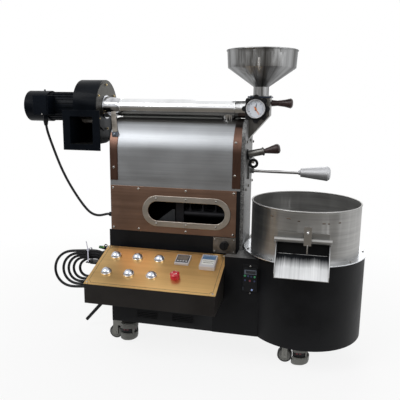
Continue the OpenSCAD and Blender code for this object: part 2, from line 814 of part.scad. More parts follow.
module burner() color("#6a6864") set_down() {
    rod_x(gas_r, [cabinet_in, gas_x], gas_y, gas_z);
    rod_z(gas_r, gas_x, gas_y, [gas_z - gas_r, low_pipe_z + gas_r]);
    rod_x(gas_r, [gas_x, manifold_x], gas_y, low_pipe_z);
    rod_y(gas_r, manifold_x, [gas_y - gas_r, bar_y[0]], low_pipe_z);
    rod_z(gas_r, manifold_x, bar_y[0], [low_pipe_z - gas_r, bar_z]);
    rod_y(manifold_r, manifold_x, [bar_y[0] - 12, bar_y[2] + 12], bar_z);
    for (y = bar_y) {
        rod_x(bar_r, [manifold_x - 4, bar_end], y, bar_z);
        for (x = [manifold_x + head_first:head_pitch:bar_end - 10]) {
            translate([x, y, bar_z + bar_r - 2]) cylinder(r1 = head_r, r2 = pin_head_r, h = 11);
            rod_z(pin_head_r, x, y, [bar_z, head_top]);
        }
    }
    block(baffle_x, baffle_y, [chamber_floor, baffle_top]);
    along_y(gusset_y) polygon([
        [baffle_x[0] - 90, chamber_floor], [baffle_x[0] - 90, bar_z - 48], [baffle_x[0] - 14, bar_z + 12],
        [baffle_x[0] - 5, bar_z + 12], [baffle_x[0] - 5, chamber_floor]]);
    for (x = rest_x) {
        block([x, x + rest_w], [gusset_y[0] - 1, back_y - skin_t - chamber_t],
            [bar_z - bar_r - 8, bar_z - bar_r + 2]);
        block([x, x + rest_w], [gusset_y[0] - 1, gusset_y[0] + 5], [chamber_floor, bar_z - bar_r]);
    }
    translate([cabinet_in - elbow_r, gas_y, gas_z]) {
        sphere(r = elbow_r);
        rotate([0, 180 + 90 - stub_tilt, 0]) {
            cylinder(r1 = elbow_r - 1, r2 = gas_r, h = stub_l - tail_l);
            translate([0, 0, stub_l - tail_l]) cylinder(r = gas_r, h = tail_l);
        }
    }
    rod_x(elbow_r, [cabinet_in - elbow_r, cabinet_in], gas_y, gas_z);
}

// Feed chute between the hopper and the front plate's feed opening
chute_x1 = face_x + chute_l;
chute_y = [axis_y - chute_w / 2, axis_y + chute_w / 2];
chute_top = axis_z + chute_up;
chute_bend = chute_top - 64;
chute_low = axis_z + 46;
top_flange = 5;
flange_over = 5;
gate_z = chute_top - 22;
gate_t = 3;
gate_rod_r = 5;
gate_fit = 0.3;
blade_half = 27;

module feed_chute() color(black) set_down() difference() {
    union() {
        along_y(chute_y) polygon([[face_x, chute_top - top_flange], [chute_x1, chute_top - top_flange],
            [chute_x1, chute_bend], [face_x, chute_low]]);
        block([face_x - 6, chute_x1 + 4], [chute_y[0] - flange_over, chute_y[1] + flange_over],
            [chute_top - top_flange, chute_top]);
    }
    along_y([chute_y[0] + chute_t, chute_y[1] - chute_t]) polygon([
        [face_x + chute_t, chute_top - top_flange - 1], [chute_x1 - chute_t, chute_top - top_flange - 1],
        [chute_x1 - chute_t, chute_bend + chute_t / 2], [face_x - 1, chute_low + chute_t * 1.3],
        [face_x - 1, roof_z - 8], [face_x + chute_t, roof_z - 8]]);
    rod_z(neck_r - hopper_t, hopper_x, axis_y, [chute_top - top_flange - 2, chute_top + 1]);
    block([chute_x1 - chute_t - 1, chute_x1 + 1],
        [axis_y - blade_half - gate_fit, axis_y + blade_half + gate_fit],
        [gate_z - gate_t / 2 - gate_fit, gate_z + gate_t / 2 + gate_fit]);
}

// Hopper as a turned sheet
hopper_x = face_x + chute_l / 2;
hopper_low_r = hopper_r - 6;
bead_r = 2.5;

module hopper() color(steel) set_down() translate([hopper_x, axis_y, chute_top]) {
    rotate_extrude($fn = 96) polygon([
        [neck_r - hopper_t, 0], [neck_r + 10, 0], [neck_r + 10, 3], [neck_r, 3], [neck_r, neck_h],
        [hopper_low_r, neck_h + hopper_cone],
        [hopper_r - bead_r, neck_h + hopper_cone + hopper_straight - bead_r],
        [hopper_r - bead_r - hopper_t, neck_h + hopper_cone + hopper_straight - bead_r],
        [hopper_low_r - hopper_t, neck_h + hopper_cone + 1], [neck_r - hopper_t, neck_h + 1]]);
    translate([0, 0, neck_h + hopper_cone + hopper_straight - bead_r]) bead(hopper_r - bead_r, bead_r);
}

// Gauge on the chute's front wall
gauge_x = face_x + 23;
gauge_rise = 146;
gauge_z = axis_z + gauge_rise;
lobes = 8;
lobe_r = 9;
lobe_at = 37.5;
surround_t = 13;
case_t = 8;
case_wall = 2.5;
dial_deep = 5;
case_y = chute_y[0] - surround_t - case_t;
dial_y = case_y + dial_deep;

module gauge() color("#1c1c1e") set_down() {
    difference() {
        along_y([chute_y[0] - surround_t, chute_y[0]]) translate([gauge_x, gauge_z]) {
            circle(r = lobe_at);
            for (i = [0:lobes - 1])
                rotate(i * 360 / lobes) translate([lobe_at, 0]) circle(r = lobe_r);
        }
        block([gauge_x - 2 * lobe_at, gauge_x + 2 * lobe_at],
            [chute_y[0] - flange_over - cut_fit, chute_y[0] + 1],
            [chute_top - top_flange - cut_fit, chute_top + 2 * lobe_r]);
    }
    difference() {
        rod_y(dial_d / 2 + case_wall, gauge_x, [case_y, case_y + case_t], gauge_z);
        rod_y(dial_d / 2, gauge_x, [case_y - 1, dial_y], gauge_z);
        rod_y(1.5 + run_fit, gauge_x, [case_y, dial_y + 2], gauge_z);
    }
}

module gauge_needle() color("#d8752a") set_down() translate([gauge_x, 0, gauge_z]) {
    rod_y(3, 0, [dial_y - 3, dial_y - 0.5], 0);
    rod_y(1.5, 0, [dial_y - 1, dial_y + 1.8], 0);
    along_y([dial_y - 2.5, dial_y - 1.3]) rotate(-57)
        polygon([[-9, -1.2], [0, -1.6], [dial_d * 0.38, -0.5], [dial_d * 0.38, 0.5], [0, 1.6], [-9, 1.2]]);
}

// Exhaust pipe with the reducer to the blower and the neck on the jacket
reducer_r = 38;
flange_r = 42;

module exhaust_pipe() color(chrome) set_down() {
    difference() {
        union() {
            rod_x(flange_r, [-reducer_l, -reducer_l + flange_t], axis_y, pipe_z);
            reducer_cone(reducer_r, pipe_r);
            rod_x(pipe_r, [0, pipe_end], axis_y, pipe_z);
            rod_z(vent_neck_r + 2, neck_x, axis_y, [axis_z + 40, pipe_z]);
            for (x = [4, pipe_end - 24]) translate([x, axis_y, pipe_z]) rotate([0, 90, 0])
                bead(pipe_r, 2);
        }
        rod_x(pipe_r - pipe_t, [-1, pipe_end - pipe_t], axis_y, pipe_z);
        reducer_cone(reducer_r - pipe_t, pipe_r - pipe_t);
        rod_x(reducer_r - pipe_t, [-reducer_l - 1, -reducer_l + flange_t + 0.01], axis_y, pipe_z);
        rod_x(jacket_r, [0, body_end], axis_y, axis_z);
        rod_z(vent_neck_r, neck_x, axis_y, [axis_z + 30, pipe_z]);
    }
}

pipe_end = body_end - 15;

// Blower: a spiral in (y, z) with a duct to the front and its square flange
scroll_t = 2.5;
outlet_t = 4;
flange_y = 0;
duct_top = pipe_z - 30;
duct_foot = pipe_z - scroll_r - 3 * scroll_step;
inlet_plate_r = 87;
scroll_mid = (scroll_x0 + scroll_x1) / 2;
impeller_r = 62;
fan_shaft_d = 16;

function scroll_line(inset, n = 36) = concat(
    [for (i = [0:n]) let (a = i * 270 / n, r = scroll_r + scroll_step * a / 90 - inset)
        [axis_y - r * cos(a), pipe_z + r * sin(a)]],
    [[flange_y - inset, duct_foot + inset], [flange_y - inset, duct_top - inset],
     [axis_y - scroll_r + inset, duct_top - inset]]);

module fan_housing() color(black) set_down() difference() {
    union() {
        along_x([scroll_x0, scroll_x1]) polygon(scroll_line(0));
        block([scroll_mid - outlet_flange / 2, scroll_mid + outlet_flange / 2],
            [flange_y, flange_y + outlet_t],
            [(duct_top + duct_foot - outlet_flange) / 2, (duct_top + duct_foot + outlet_flange) / 2]);
        rod_x(inlet_plate_r, [scroll_x1, scroll_x1 + flange_t], axis_y, pipe_z);
    }
    along_x([scroll_x0 + scroll_t, scroll_x1 - scroll_t]) polygon(scroll_line(scroll_t));
    rod_x(reducer_r - pipe_t, [scroll_x1 - scroll_t - 1, scroll_x1 + flange_t + 1], axis_y, pipe_z);
    rod_x(fan_shaft_d / 2 + 2, [scroll_x0 - 1, scroll_x0 + scroll_t + 1], axis_y, pipe_z);
}

// Blower motor with ribs, cowl, terminal box and gland
rib_out = 3;
rib_root = motor_r - rib_out - 4;
rib_t = 2.4;
ribs = 24;
terminal_x = [cowl_x1 - 28, cowl_x1 + 30];
terminal_y = [axis_y - motor_r - 40, axis_y - motor_r + 10];
terminal_z = [pipe_z - 31, pipe_z + 40];
gland_r = 8;
gland_l = 15.5;

module fan_motor() color(black) set_down() {
    difference() {
        union() {
            rod_x(motor_r + 6, [scroll_x0 - 7, scroll_x0], axis_y, pipe_z);
            rod_x(motor_r - rib_out, [cowl_x1, scroll_x0], axis_y, pipe_z);
            for (i = [0:ribs - 1]) translate([cowl_x1 - 1, axis_y, pipe_z])
                rotate([i * 360 / ribs, 0, 0]) translate([0, -rib_t / 2, rib_root])
                    cube([motor_l - 2, rib_t, motor_r - rib_root]);
            rod_x(cowl_r, [cowl_x0, cowl_x1], axis_y, pipe_z);
            block(terminal_x, terminal_y, terminal_z);
            rod_z(3, cowl_x1 - 30, axis_y, [pipe_z + cowl_r - 3, pipe_z + cowl_r + 5]);
        }
        rod_x(fan_shaft_d / 2 + run_fit, [scroll_x0 - 40, scroll_x0 + 1], axis_y, pipe_z);
    }
    rod_z(gland_r, cable_route[0][0], cable_route[0][1], [terminal_z[0] - gland_l, terminal_z[0]]);
}

module fan_impeller() color(steel) set_down() {
    rod_x(fan_shaft_d / 2, [scroll_x0 - 38, scroll_x1 - 22], axis_y, pipe_z);
    rod_x(impeller_r, [scroll_x0 + 12, scroll_x0 + 15], axis_y, pipe_z);
    translate([scroll_x1 - 14, axis_y, pipe_z]) rotate([0, 90, 0]) difference() {
        cylinder(r = impeller_r, h = 3);
        translate([0, 0, -1]) cylinder(r = impeller_r - 12, h = 5);
    }
    for (a = [0:15:345]) translate([scroll_x0 + 14, axis_y, pipe_z]) rotate([a, 0, 0])
        translate([0, impeller_r - 10.5, 0]) rotate([25, 0, 0])
            cube([scroll_w - 27, 9, 1.2]);
}

// Round tray with its slotted floor, rolled rim, discharge spout and the bar over it
spout_x = tray_x;
spout_half = spout_w / 2;
spout_t = 2;
cheek_back = tray_y - sqrt(pow(tray_r, 2) - pow(spout_half, 2)) + 2;
hood_y = tray_y - tray_r - 2;
hood_z = floor_z + spout_t + spout_h;
bar_radius = 8;
bar_y0 = hood_y - 12;
lip_z = floor_z - 56;
slots = 24;

slot_rows = [50, 104];
slot_l = 44;
slot_w = 3;

module cooling_tray() color(steel) set_down() {
    difference() {
        union() {
            tube_z(tray_r, tray_t, tray_x, tray_y, [deck_top, rim_z]);
            translate([tray_x, tray_y, rim_z]) bead(tray_r - tray_t / 2, bead_r);
            rod_z(tray_r - tray_t / 2, tray_x, tray_y, [floor_z, floor_z + spout_t]);
        }
        rod_z(stirrer_shaft_r + 1, tray_x, tray_y, [floor_z - 1, floor_z + spout_t + 1]);
        block([spout_x - spout_half + 8, spout_x + spout_half - 8], [tray_y - tray_r - 1, cheek_back],
            [floor_z + spout_t, hood_z - spout_t]);
        for (i = [0:slots - 1], r = slot_rows) translate([tray_x, tray_y, floor_z - 1])
            rotate([0, 0, i * 360 / slots]) translate([r, -slot_w / 2, 0]) cube([slot_l, slot_w, spout_t + 2]);
    }
    difference() {
        union() {
            for (x = [spout_x - spout_half, spout_x + spout_half - spout_t])
                along_x([x, x + spout_t]) polygon([
                    [cheek_back, hood_z], [bar_y0, hood_z], [bar_y0, hood_z - 6],
                    [-spout_out, lip_z + 14], [-spout_out, lip_z],
                    [hood_y, floor_z], [cheek_back, floor_z]]);
            along_x([spout_x - spout_half, spout_x + spout_half]) polygon([
                [cheek_back + 6, floor_z + spout_t], [hood_y, floor_z + spout_t],
                [-spout_out, lip_z + spout_t], [-spout_out, lip_z],
                [hood_y, floor_z], [cheek_back + 6, floor_z]]);
            block([spout_x - spout_half, spout_x + spout_half], [hood_y, cheek_back],
                [hood_z - spout_t, hood_z]);
        }
        rod_z(tray_r - tray_t, tray_x, tray_y, [floor_z - 1, hood_z + 1]);
    }
    rod_x(bar_radius, [spout_x - spout_half - 5, spout_x + spout_half + 5], bar_y0, hood_z + 4);
}

// Gate that lifts in front of the tray's opening, with its latch strip and hook
gate_side = 3.5;
gate_over = 26;
gate_plate_t = 1.6;
strip_w = 22;
strip_t = 2;
strip_x = [spout_x + strip_t, spout_x + strip_t + strip_w];
strip_mid = (strip_x[0] + strip_x[1]) / 2;
strip_y = bar_y0 - bar_radius - 4;
hook_z = [hood_z - 32, hood_z - 6];
hook_r = 2.5;

module tray_gate() color(steel) set_down() {
    block([spout_x - spout_half + gate_side, spout_x + spout_half - gate_side],
        [hood_y - 1 - gate_plate_t, hood_y - 1], [floor_z + 4, hood_z + gate_over]);
    block(strip_x, [strip_y, hood_y - 1], [hood_z + gate_over - 4, hood_z + gate_over]);
    block(strip_x, [strip_y, strip_y + strip_t], [hook_z[1] - strip_t, hood_z + tray_gate_up + 8]);
    rod_y(4, strip_mid, [strip_y - 3, strip_y + 1], hood_z + gate_over + 8);
    rod_z(hook_r, strip_mid, strip_y + 1, hook_z);
}

// Hank of supply cord, the angle on the cabinet's left wall that it rests on, and the glands
// where the cord and the motor's cable enter
hank_x = [-247, 12];
hank_y = [14, 46];
hank_z = [152, 313];
hank_hole = 24;
rack_y = [50, 53];
rack_top = (hank_z[0] + hank_z[1]) / 2 + hank_hole;
rack_x = [-112, -70];

module cord_fittings() color(black) set_down() {
    block([rack_x[0], cabinet_in], rack_y, [rack_top - 20, rack_top]);
    block(rack_x, [12, rack_y[1]], [rack_top - 3, rack_top]);
    block([cabinet_in - 3, cabinet_in], [rack_y[0] - 22, rack_y[1]], [rack_top - 24, rack_top + 4]);
    rod_x(gland_r, [cord_route[0][0], cabinet_in + cabinet_t], supply_gland[1], supply_gland[2]);
    rod_x(gland_r, [cable_route[len(cable_route) - 1][0], 0], motor_gland[1], motor_gland[2]);
}

// Screw and bolt heads, each a solid of its own on the panel that it holds
head_h = 2.5;
inset = 9;
// How far a head on the strap's round part sinks in at its middle
head_sink = 0.01;
strap_screw_x = body_end - strap_w / 2 - 5;
strap_screw_up = 19.5;

module head_y(x, y, z, r) rod_y(r, x, [y - head_h, y], z);

module head_x(x, y, z, r) rod_x(r, [x, x + 5], y, z);

module screws() color(chrome) set_down() {
    for (x = [inset, panel_w * 0.23, panel_w * 0.61, panel_w - inset],
            z = [band_top + inset, panel_top - inset])
        head_y(x, 0, z, 4);
    for (x = [window_x + 30, window_x + window_w / 2, window_x + window_w - 30],
            z = [window_z - frame_w / 2, window_z + window_h + frame_w / 2])
        head_y(x, -frame_t, z, 3.5);
    for (x = [knob_plate_x[0] + 6, knob_plate_x[1] - 6], dz = [-21, 21])
        head_y(x, -knob_plate_t, knob_plate_z + dz, 2.5);
    head_y(strap_w / 2, -strap_t, strap_foot[0] + 44, 4);
    head_y(strap_screw_x, -strap_t, strap_foot[1] + 43, 4);
    translate([strap_screw_x, axis_y, axis_z]) rotate([90 - strap_screw_up, 0, 0])
        translate([0, 0, jacket_r + strap_t - head_sink]) cylinder(r = 4, h = head_h);
    head_y((clamp_x[0] + clamp_x[1]) / 2, clamp_out, (clamp_z[0] + clamp_z[1]) / 2, 5);
    for (x = [desk_x0 + 7, desk_x1 - 9], s = [8, slope_l - 10])
        on_desk(x, s) translate([0, 0, gold_t]) cylinder(r = 3.2, h = 2);
    head_y((keypad_x[0] + keypad_x[1]) / 2, column_y, keypad_z[0] - 8, 3);
    head_y((keypad_x[0] + keypad_x[1]) / 2, column_y - tab_thin, keypad_z[1] + keypad_tab / 2, 3);
    for (a = [-160:40:160]) translate([tray_x, tray_y, deck_top]) rotate([0, 0, a])
        translate([tray_r + 13, 0, 0]) cylinder(r = 4, h = 3);
    for (p = [[12, 40], [98, 40], [9, -117], [69, -113], [170, 30], [170, -110]])
        head_x(face_x, plate_y0 + p[0], axis_z + p[1], 5);
    for (a = [30:60:330]) rod_x(4, [scroll_x1 + flange_t, scroll_x1 + flange_t + 4],
        axis_y + (inlet_plate_r - 9) * cos(a), pipe_z + (inlet_plate_r - 9) * sin(a));
}

// Drum: shell, rear disc, front spider and vanes
drum_x = [14, body_end - 10];
disc_t = 3;
spider_x = body_end - 76;
vanes = 6;

module drum() color("#55504a") set_down() translate([0, axis_y, axis_z]) difference() {
    union() {
        difference() {
            rod_x(drum_r, drum_x, 0, 0);
            rod_x(drum_r - drum_t, [drum_x[0] + disc_t, drum_x[1] + 1], 0, 0);
        }
        for (i = [0:vanes - 1]) rotate([i * 360 / vanes, 0, 0])
            block([drum_x[0] + 1, spider_x], [-1.5, 1.5], [drum_r - vane_h, drum_r - drum_t / 2]);
        for (i = [0:2]) rotate([30 + i * 120, 0, 0])
            block([spider_x, spider_x + 8], [-10, 10], [0, drum_r - drum_t / 2]);
        rod_x(bush_r, [spider_x - 2, spider_x + 14], 0, 0);
    }
    rod_x(shaft_d / 2, [0, body_end], 0, 0);
}

module drum_shaft() color(steel) set_down() {
    rod_x(shaft_d / 2, [chain_x[0] - 2, body_end + front_bush_l - 1], axis_y, axis_z);
    rod_x(drum_pitch_r - chain_half, chain_x, axis_y, axis_z);
}

module motor_sprocket() color(steel) set_down() {
    rod_x(drive_shaft_r, [chain_x[0] - 2, gearbox[0] + 30], axis_y, motor_z);
    rod_x(motor_pitch_r - chain_half, chain_x, axis_y, motor_z);
}

// Feed gate: a blade inside the chute with a rod and a turned wooden handle
blade_x = [face_x + chute_t + 2, chute_x1 + 1];
handle_x = chute_x1 + 3;
handle_l = 71;
handle_r = 17;

module feed_gate() color(wood) set_down() {
    block(blade_x, [axis_y - blade_half, axis_y + blade_half],
        [gate_z - gate_t / 2, gate_z + gate_t / 2]);
    rod_x(gate_rod_r, [chute_x1 + 0.5, handle_x + 2], axis_y, gate_z);
    translate([handle_x, axis_y, gate_z]) rotate([0, 90, 0]) rotate_extrude() polygon([
        [0, 0], [11, 0], [9, handle_l * 0.28], [handle_r - 5, handle_l * 0.62],
        [handle_r, handle_l * 0.9], [handle_r - 4, handle_l - 2], [handle_r - 10, handle_l],
        [0, handle_l]]);
}

sleeve_in = 10;
rim_out = 2.5;

module trier_sleeve() color(steel) set_down() difference() {
    union() {
        on_trier(-sleeve_in) cylinder(r = sleeve_r, h = sleeve_l + sleeve_in);
        on_trier(sleeve_l - 6) cylinder(r = sleeve_r + rim_out, h = 4);
    }
    on_trier(-2 * sleeve_in) cylinder(r = trier_r + run_fit, h = sleeve_l + 3 * sleeve_in);
}

trier_in = 58;
trier_handle = 52;
trier_handle_r = 16.5;

module trier() color(wood) set_down() {
    difference() {
        on_trier(-trier_in) cylinder(r = trier_r, h = trier_in + sleeve_l + 1);
        on_trier(-trier_in + 4) translate([-trier_r - 1, -trier_r + 2, 0])
            cube([trier_r + 1, 2 * trier_r - 4, 40]);
    }
    on_trier(sleeve_l + 0.5) rotate_extrude() polygon([
        [0, 0], [trier_r + 0.5, 0], [trier_handle_r, trier_handle * 0.8],
        [trier_handle_r - 1, trier_handle * 0.92],
        [9, trier_handle], [0, trier_handle]]);
}

// Door on its hinge, with the clevis that its lever screws into
door_gap = 0.3;
lever_z = axis_z - 66;
lever_r = 6.3;
clevis_r = 9;

module discharge_door() color(cast_grey) set_down() difference() {
    union() {
        block([face_x + door_gap, face_x + door_gap + door_t],
            [axis_y - door_w / 2, axis_y + door_w / 2], [door_z - door_h, door_z]);
        rod_y(hinge_r, hinge_x, [axis_y - door_w / 2, axis_y + door_w / 2], hinge_z);
        block([face_x + 1.5, hinge_x + 2], [axis_y - door_w / 2, axis_y + door_w / 2],
            [door_z - 3, hinge_z]);
        rod_x(clevis_r, [face_x + door_t - 2, face_x + 18], axis_y, lever_z);
    }
    rod_y(pin_r + run_fit, hinge_x, [axis_y - door_w, axis_y + door_w], hinge_z);
    rod_x(lever_r, [face_x + door_t + 4, face_x + 20], axis_y, lever_z);
}

module door_lever() color(chrome) set_down() {
    rod_x(lever_r, [face_x + door_t + 4, face_x + 18 + lever_l - 9], axis_y, lever_z);
    translate([face_x + lever_l, axis_y, lever_z]) rotate([0, 90, 0]) rotate_extrude() polygon([
        [0, 0], [8.5, 0], [8.5, 6], [14.5, 7], [grip_r, grip_l * 0.9], [grip_r - 5, grip_l * 0.97],
        [grip_r - 13, grip_l], [0, grip_l]]);
}

// Pull ring that hangs on its pin beside the door
ring_r = 12;
ring_t = 4.5;
ring_drop = ring_r - ring_t - pin_r - 0.3;

module door_latch() color(black) set_down() along_y(latch_y) difference() {
    translate([latch_pin_x, latch_pin_z - ring_drop]) circle(r = ring_r + ring_t);
    translate([latch_pin_x, latch_pin_z - ring_drop]) circle(r = ring_r - ring_t);
}

// Stirrer with its arms and paddles, and the fan below the floor
arm_l = 166;
arm_z = floor_z + 18;

module stirrer() color("#6a6864") set_down() translate([tray_x, tray_y, 0]) {
    rod_z(stirrer_shaft_r, 0, 0, [stirrer_box[1] - 38, floor_z + 30]);
    rod_z(22, 0, 0, [floor_z + 4, floor_z + 36]);
    for (a = [20, 140, 260]) rotate([0, 0, a]) {
        block([0, arm_l], [-5, 5], [arm_z, arm_z + 8]);
        for (r = [60, 105, 148]) translate([r, 0, floor_z + 4]) rotate([0, 0, 35])
            block([-14, 14], [-1.5, 1.5], [0, arm_z - floor_z]);
    }
}

fan_r = 112;
fan_blades = 7;
fan_shaft_in = 38;
hub_r = 26;
hub_h = 24;
blade_w = 36;
blade_t = 2;

module cooling_fan() color("#4a4c50") set_down() translate([tray_x, tray_y, fan_z]) {
    rod_z(fan_shaft_r, 0, 0, [-fan_shaft_in, hub_h]);
    rod_z(hub_r, 0, 0, [0, hub_h]);
    for (i = [0:fan_blades - 1]) rotate([0, 0, i * 360 / fan_blades])
        translate([hub_r - 4, 0, hub_h / 2]) rotate([30, 0, 0]) translate([0, -blade_w / 2, -blade_t / 2])
            cube([fan_r - hub_r + 4, blade_w, blade_t]);
}

module burner_knob() color("#2c2c2e") set_down() {
    rod_y(knob_d / 2, knob_x, [-knob_plate_t - 19, -knob_plate_t - 1], knob_z);
    rod_y(knob_stem, knob_x, [-knob_plate_t - 2, skin_t + chamber_t + 8], knob_z);
    block([knob_x - 2, knob_x + 2], [-knob_plate_t - 23, -knob_plate_t - 18],
        [knob_z - knob_d / 2 + 2, knob_z + knob_d / 2 - 2]);
}

// Chrome push button: a domed cap on a stem
cap_lift = button_in + 1;
cap_h = 13;

module button(p) color(chrome) set_down() on_desk(p[0], p[1]) {
    translate([0, 0, -16]) cylinder(r = button_stem, h = 16 + gold_t + cap_lift + 1);
    translate([0, 0, gold_t + cap_lift]) intersection() {
        cylinder(r = button_d / 2, h = cap_h);
        translate([0, 0, cap_h - button_d * 0.56]) sphere(r = button_d * 0.56);
    }
}

module stop_button() color("#c8283a") set_down() on_desk(stop_at[0], stop_at[1]) {
    translate([0, 0, -20]) cylinder(r = stop_stem, h = 20 + gold_t + 14);
    translate([0, 0, gold_t + 12]) cylinder(r1 = stop_r - 2, r2 = stop_r, h = 4);
    translate([0, 0, gold_t + 16]) intersection() {
        cylinder(r = stop_r, h = 6);
        translate([0, 0, 6 - stop_r * 1.5]) sphere(r = stop_r * 1.5);
    }
}

// Casters: swivel housing with a levelling pad on the axis and the wheel beside it
caster_at = [[66, -38], [tray_x - 4, -62], [66, 190], [tray_x - 4, 145]];
caster_turn = [0, 0, 0, 0];
bracket_t = 4;
house_z = [wheel_clear + 2 * wheel_r - 14, stand_h - 12];
axle_r = 4;
axle_z = wheel_clear + wheel_r;
fork_gap = 1;
fork_t = 4;
fork_y = wheel_w / 2 + fork_gap;

module caster(i) color("#6a6a66") set_down() translate([caster_at[i][0], caster_at[i][1], 0])
        rotate([0, 0, caster_turn[i]]) {
    rod_z(28, 0, 0, [stand_h - bracket_t, stand_h]);
    rod_z(13, 0, 0, [house_z[1] - 1, stand_h - bracket_t]);
    rod_z(pad_r, 0, 0, [0, 12]);
    rod_z(8, 0, 0, [11, house_z[0] + 8]);
    block([-wheel_off - 9, 20], [-fork_y - fork_t, fork_y + fork_t],
        [wheel_clear + 2 * wheel_r + 3, house_z[1]]);
    rod_z(13, 0, 0, [house_z[0], house_z[1] - 1]);
    for (side = [-1, 1]) {
        y = side < 0 ? [-fork_y - fork_t, -fork_y] : [fork_y, fork_y + fork_t];
        block([-wheel_off - 9, -wheel_off + 9], y, [axle_z - 7, house_z[1]]);
    }
    rod_y(axle_r, -wheel_off, [-fork_y - fork_t - 1, fork_y + fork_t + 1], axle_z);
}

module caster_wheel(i) color(rubber_black) set_down()
        translate([caster_at[i][0], caster_at[i][1], 0]) rotate([0, 0, caster_turn[i]]) difference() {
    rod_y(wheel_r, -wheel_off, [-wheel_w / 2, wheel_w / 2], axle_z);
    rod_y(axle_r + run_fit, -wheel_off, [-wheel_w, wheel_w], axle_z);
}

// Cable and cord routes, as points on their middle lines
cable_d = 9;
cord_d = 10;
cable_route = [[-262, 40, 773], [-262, 40, 755], [-258, 40, 730], [-245, 39, 695], [-228, 38, 650],
    [-208, 37, 600], [-182, 36, 550], [-150, 36, 500], [-120, 36, 460], [-98, 36, 438],
    [-74, 38, 429], [-52, 39, 432], [-38, 40, 437], [-30, 40, 438], [-24, 40, 438]];
motor_gland = [-rear_t, 40, 438];
supply_gland = [cabinet_in, 185, 285];
cord_route = [[8, 185, 285], [-10, 185, 285], [-28, 181, 285], [-42, 171, 284], [-51, 156, 283],
    [-55, 140, 282], [-56, 120, 281], [-56, 102, 281], [-57, 86, 282], [-60, 72, 283],
    [-66, 60, 283.5], [-75, 49.5, 284], [-75, 46, 284]];

// Ring of a swept tube at one point of a route, square to the line through its neighbours;
// up is a direction that the route never takes
function unit(v) = v / norm(v);
function along(route, i) =
    unit(route[min(i + 1, len(route) - 1)] - route[max(i - 1, 0)]);
function ring(route, i, r, up, sides) =
    let (d = along(route, i), u = unit(cross(d, up)), w = cross(d, u))
    [for (k = [0:sides - 1]) let (a = 360 * k / sides) route[i] + r * (cos(a) * u + sin(a) * w)];

module swept(route, r, up, sides = 10) {
    n = len(route);
    polyhedron(
        points = [for (i = [0:n - 1], p = ring(route, i, r, up, sides)) p],
        faces = concat(
            [[for (k = [0:sides - 1]) k]],
            [for (i = [0:n - 2], k = [0:sides - 1]) let (a = i * sides + k,
                b = i * sides + (k + 1) % sides) [a, a + sides, b + sides, b]],
            [[for (k = [sides - 1:-1:0]) (n - 1) * sides + k]]));
}

module motor_cable() color(rubber_black) set_down() swept(cable_route, cable_d / 2, [0, 1, 0]);

module supply_cord() color(rubber_black) set_down() swept(cord_route, cord_d / 2, [0, 0, 1]);

// Hank of supply cord: an outline with round ends and the hole inside its turns
module hank_outline(r) {
    reach = (hank_z[1] - hank_z[0]) / 2;
    zc = (hank_z[0] + hank_z[1]) / 2;
    for (x = [hank_x[0] + reach, hank_x[1] - reach]) translate([x, zc]) circle(r = r);
    translate([hank_x[0] + reach, zc - r]) square([hank_x[1] - hank_x[0] - 2 * reach, 2 * r]);
}

module supply_coil() color(rubber_black) set_down() along_y(hank_y) difference() {
    hank_outline((hank_z[1] - hank_z[0]) / 2);
    hank_outline(hank_hole);
}

// Stripped cores at the cord's free end, each with its ferrule
core_r = 1.8;
core_x = [-62, -38];
core_y = [24, 30, 36];

module supply_cores() color("#4c7a3a") set_down() {
    for (y = core_y) rod_x(core_r, core_x, y, hank_z[1] + core_r);
}

base_cabinet();
cooling_base();
control_box();
control_panel();
instruments();
burner_chamber();
window_panel();
window_frame();
rear_plate();
front_plate();
jacket();
end_straps();
drum_bearings();
motors();
drive_chain();
chain_guard();
burner();
feed_chute();
hopper();
gauge();
exhaust_pipe();
fan_housing();
fan_motor();
cooling_tray();
cord_fittings();
screws();
drum();
drum_shaft();
motor_sprocket();
feed_gate();
gauge_needle();
trier();
trier_sleeve();
discharge_door();
door_lever();
door_latch();
fan_impeller();
stirrer();
cooling_fan();
tray_gate();
burner_knob();
stop_button();
button(button_at[0]);  // button_1
button(button_at[1]);  // button_2
button(button_at[2]);  // button_3
button(button_at[3]);  // button_4
button(button_at[4]);  // button_5
button(button_at[5]);  // button_6
caster(0);  // caster_1
caster(1);  // caster_2
caster(2);  // caster_3
caster(3);  // caster_4
caster_wheel(0);  // caster_wheel_1
caster_wheel(1);  // caster_wheel_2
caster_wheel(2);  // caster_wheel_3
caster_wheel(3);  // caster_wheel_4
motor_cable();
supply_cord();
supply_coil();
supply_cores();
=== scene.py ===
"""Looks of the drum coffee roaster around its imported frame.

Lengths and places are written in the roaster's own millimetres, counted from the body's left
front foot, and at() and MM turn them into the frame's metres.
"""
import math

import bmesh
import bpy
from mathutils import Matrix, Vector


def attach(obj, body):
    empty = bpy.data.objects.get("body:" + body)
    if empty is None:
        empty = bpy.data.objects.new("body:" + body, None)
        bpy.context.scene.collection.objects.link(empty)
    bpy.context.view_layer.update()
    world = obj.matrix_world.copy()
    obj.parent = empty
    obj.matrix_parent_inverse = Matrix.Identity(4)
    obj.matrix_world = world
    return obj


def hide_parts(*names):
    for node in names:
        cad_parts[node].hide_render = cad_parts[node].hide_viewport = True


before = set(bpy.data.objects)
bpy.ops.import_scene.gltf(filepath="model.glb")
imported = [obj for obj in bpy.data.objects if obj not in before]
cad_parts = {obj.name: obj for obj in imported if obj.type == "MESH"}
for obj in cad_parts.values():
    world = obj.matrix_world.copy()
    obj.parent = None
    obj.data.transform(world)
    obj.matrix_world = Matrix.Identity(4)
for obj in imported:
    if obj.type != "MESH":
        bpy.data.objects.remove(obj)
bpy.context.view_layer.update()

MM = 0.001
FRAME_ORIGIN = Vector((258.25, 6.75, 0.0))
QUARTER_TURN = math.pi / 2
FULL_TURN = 2 * math.pi
UP = (0, 0, 1)
FORWARD = (0, -1, 0)


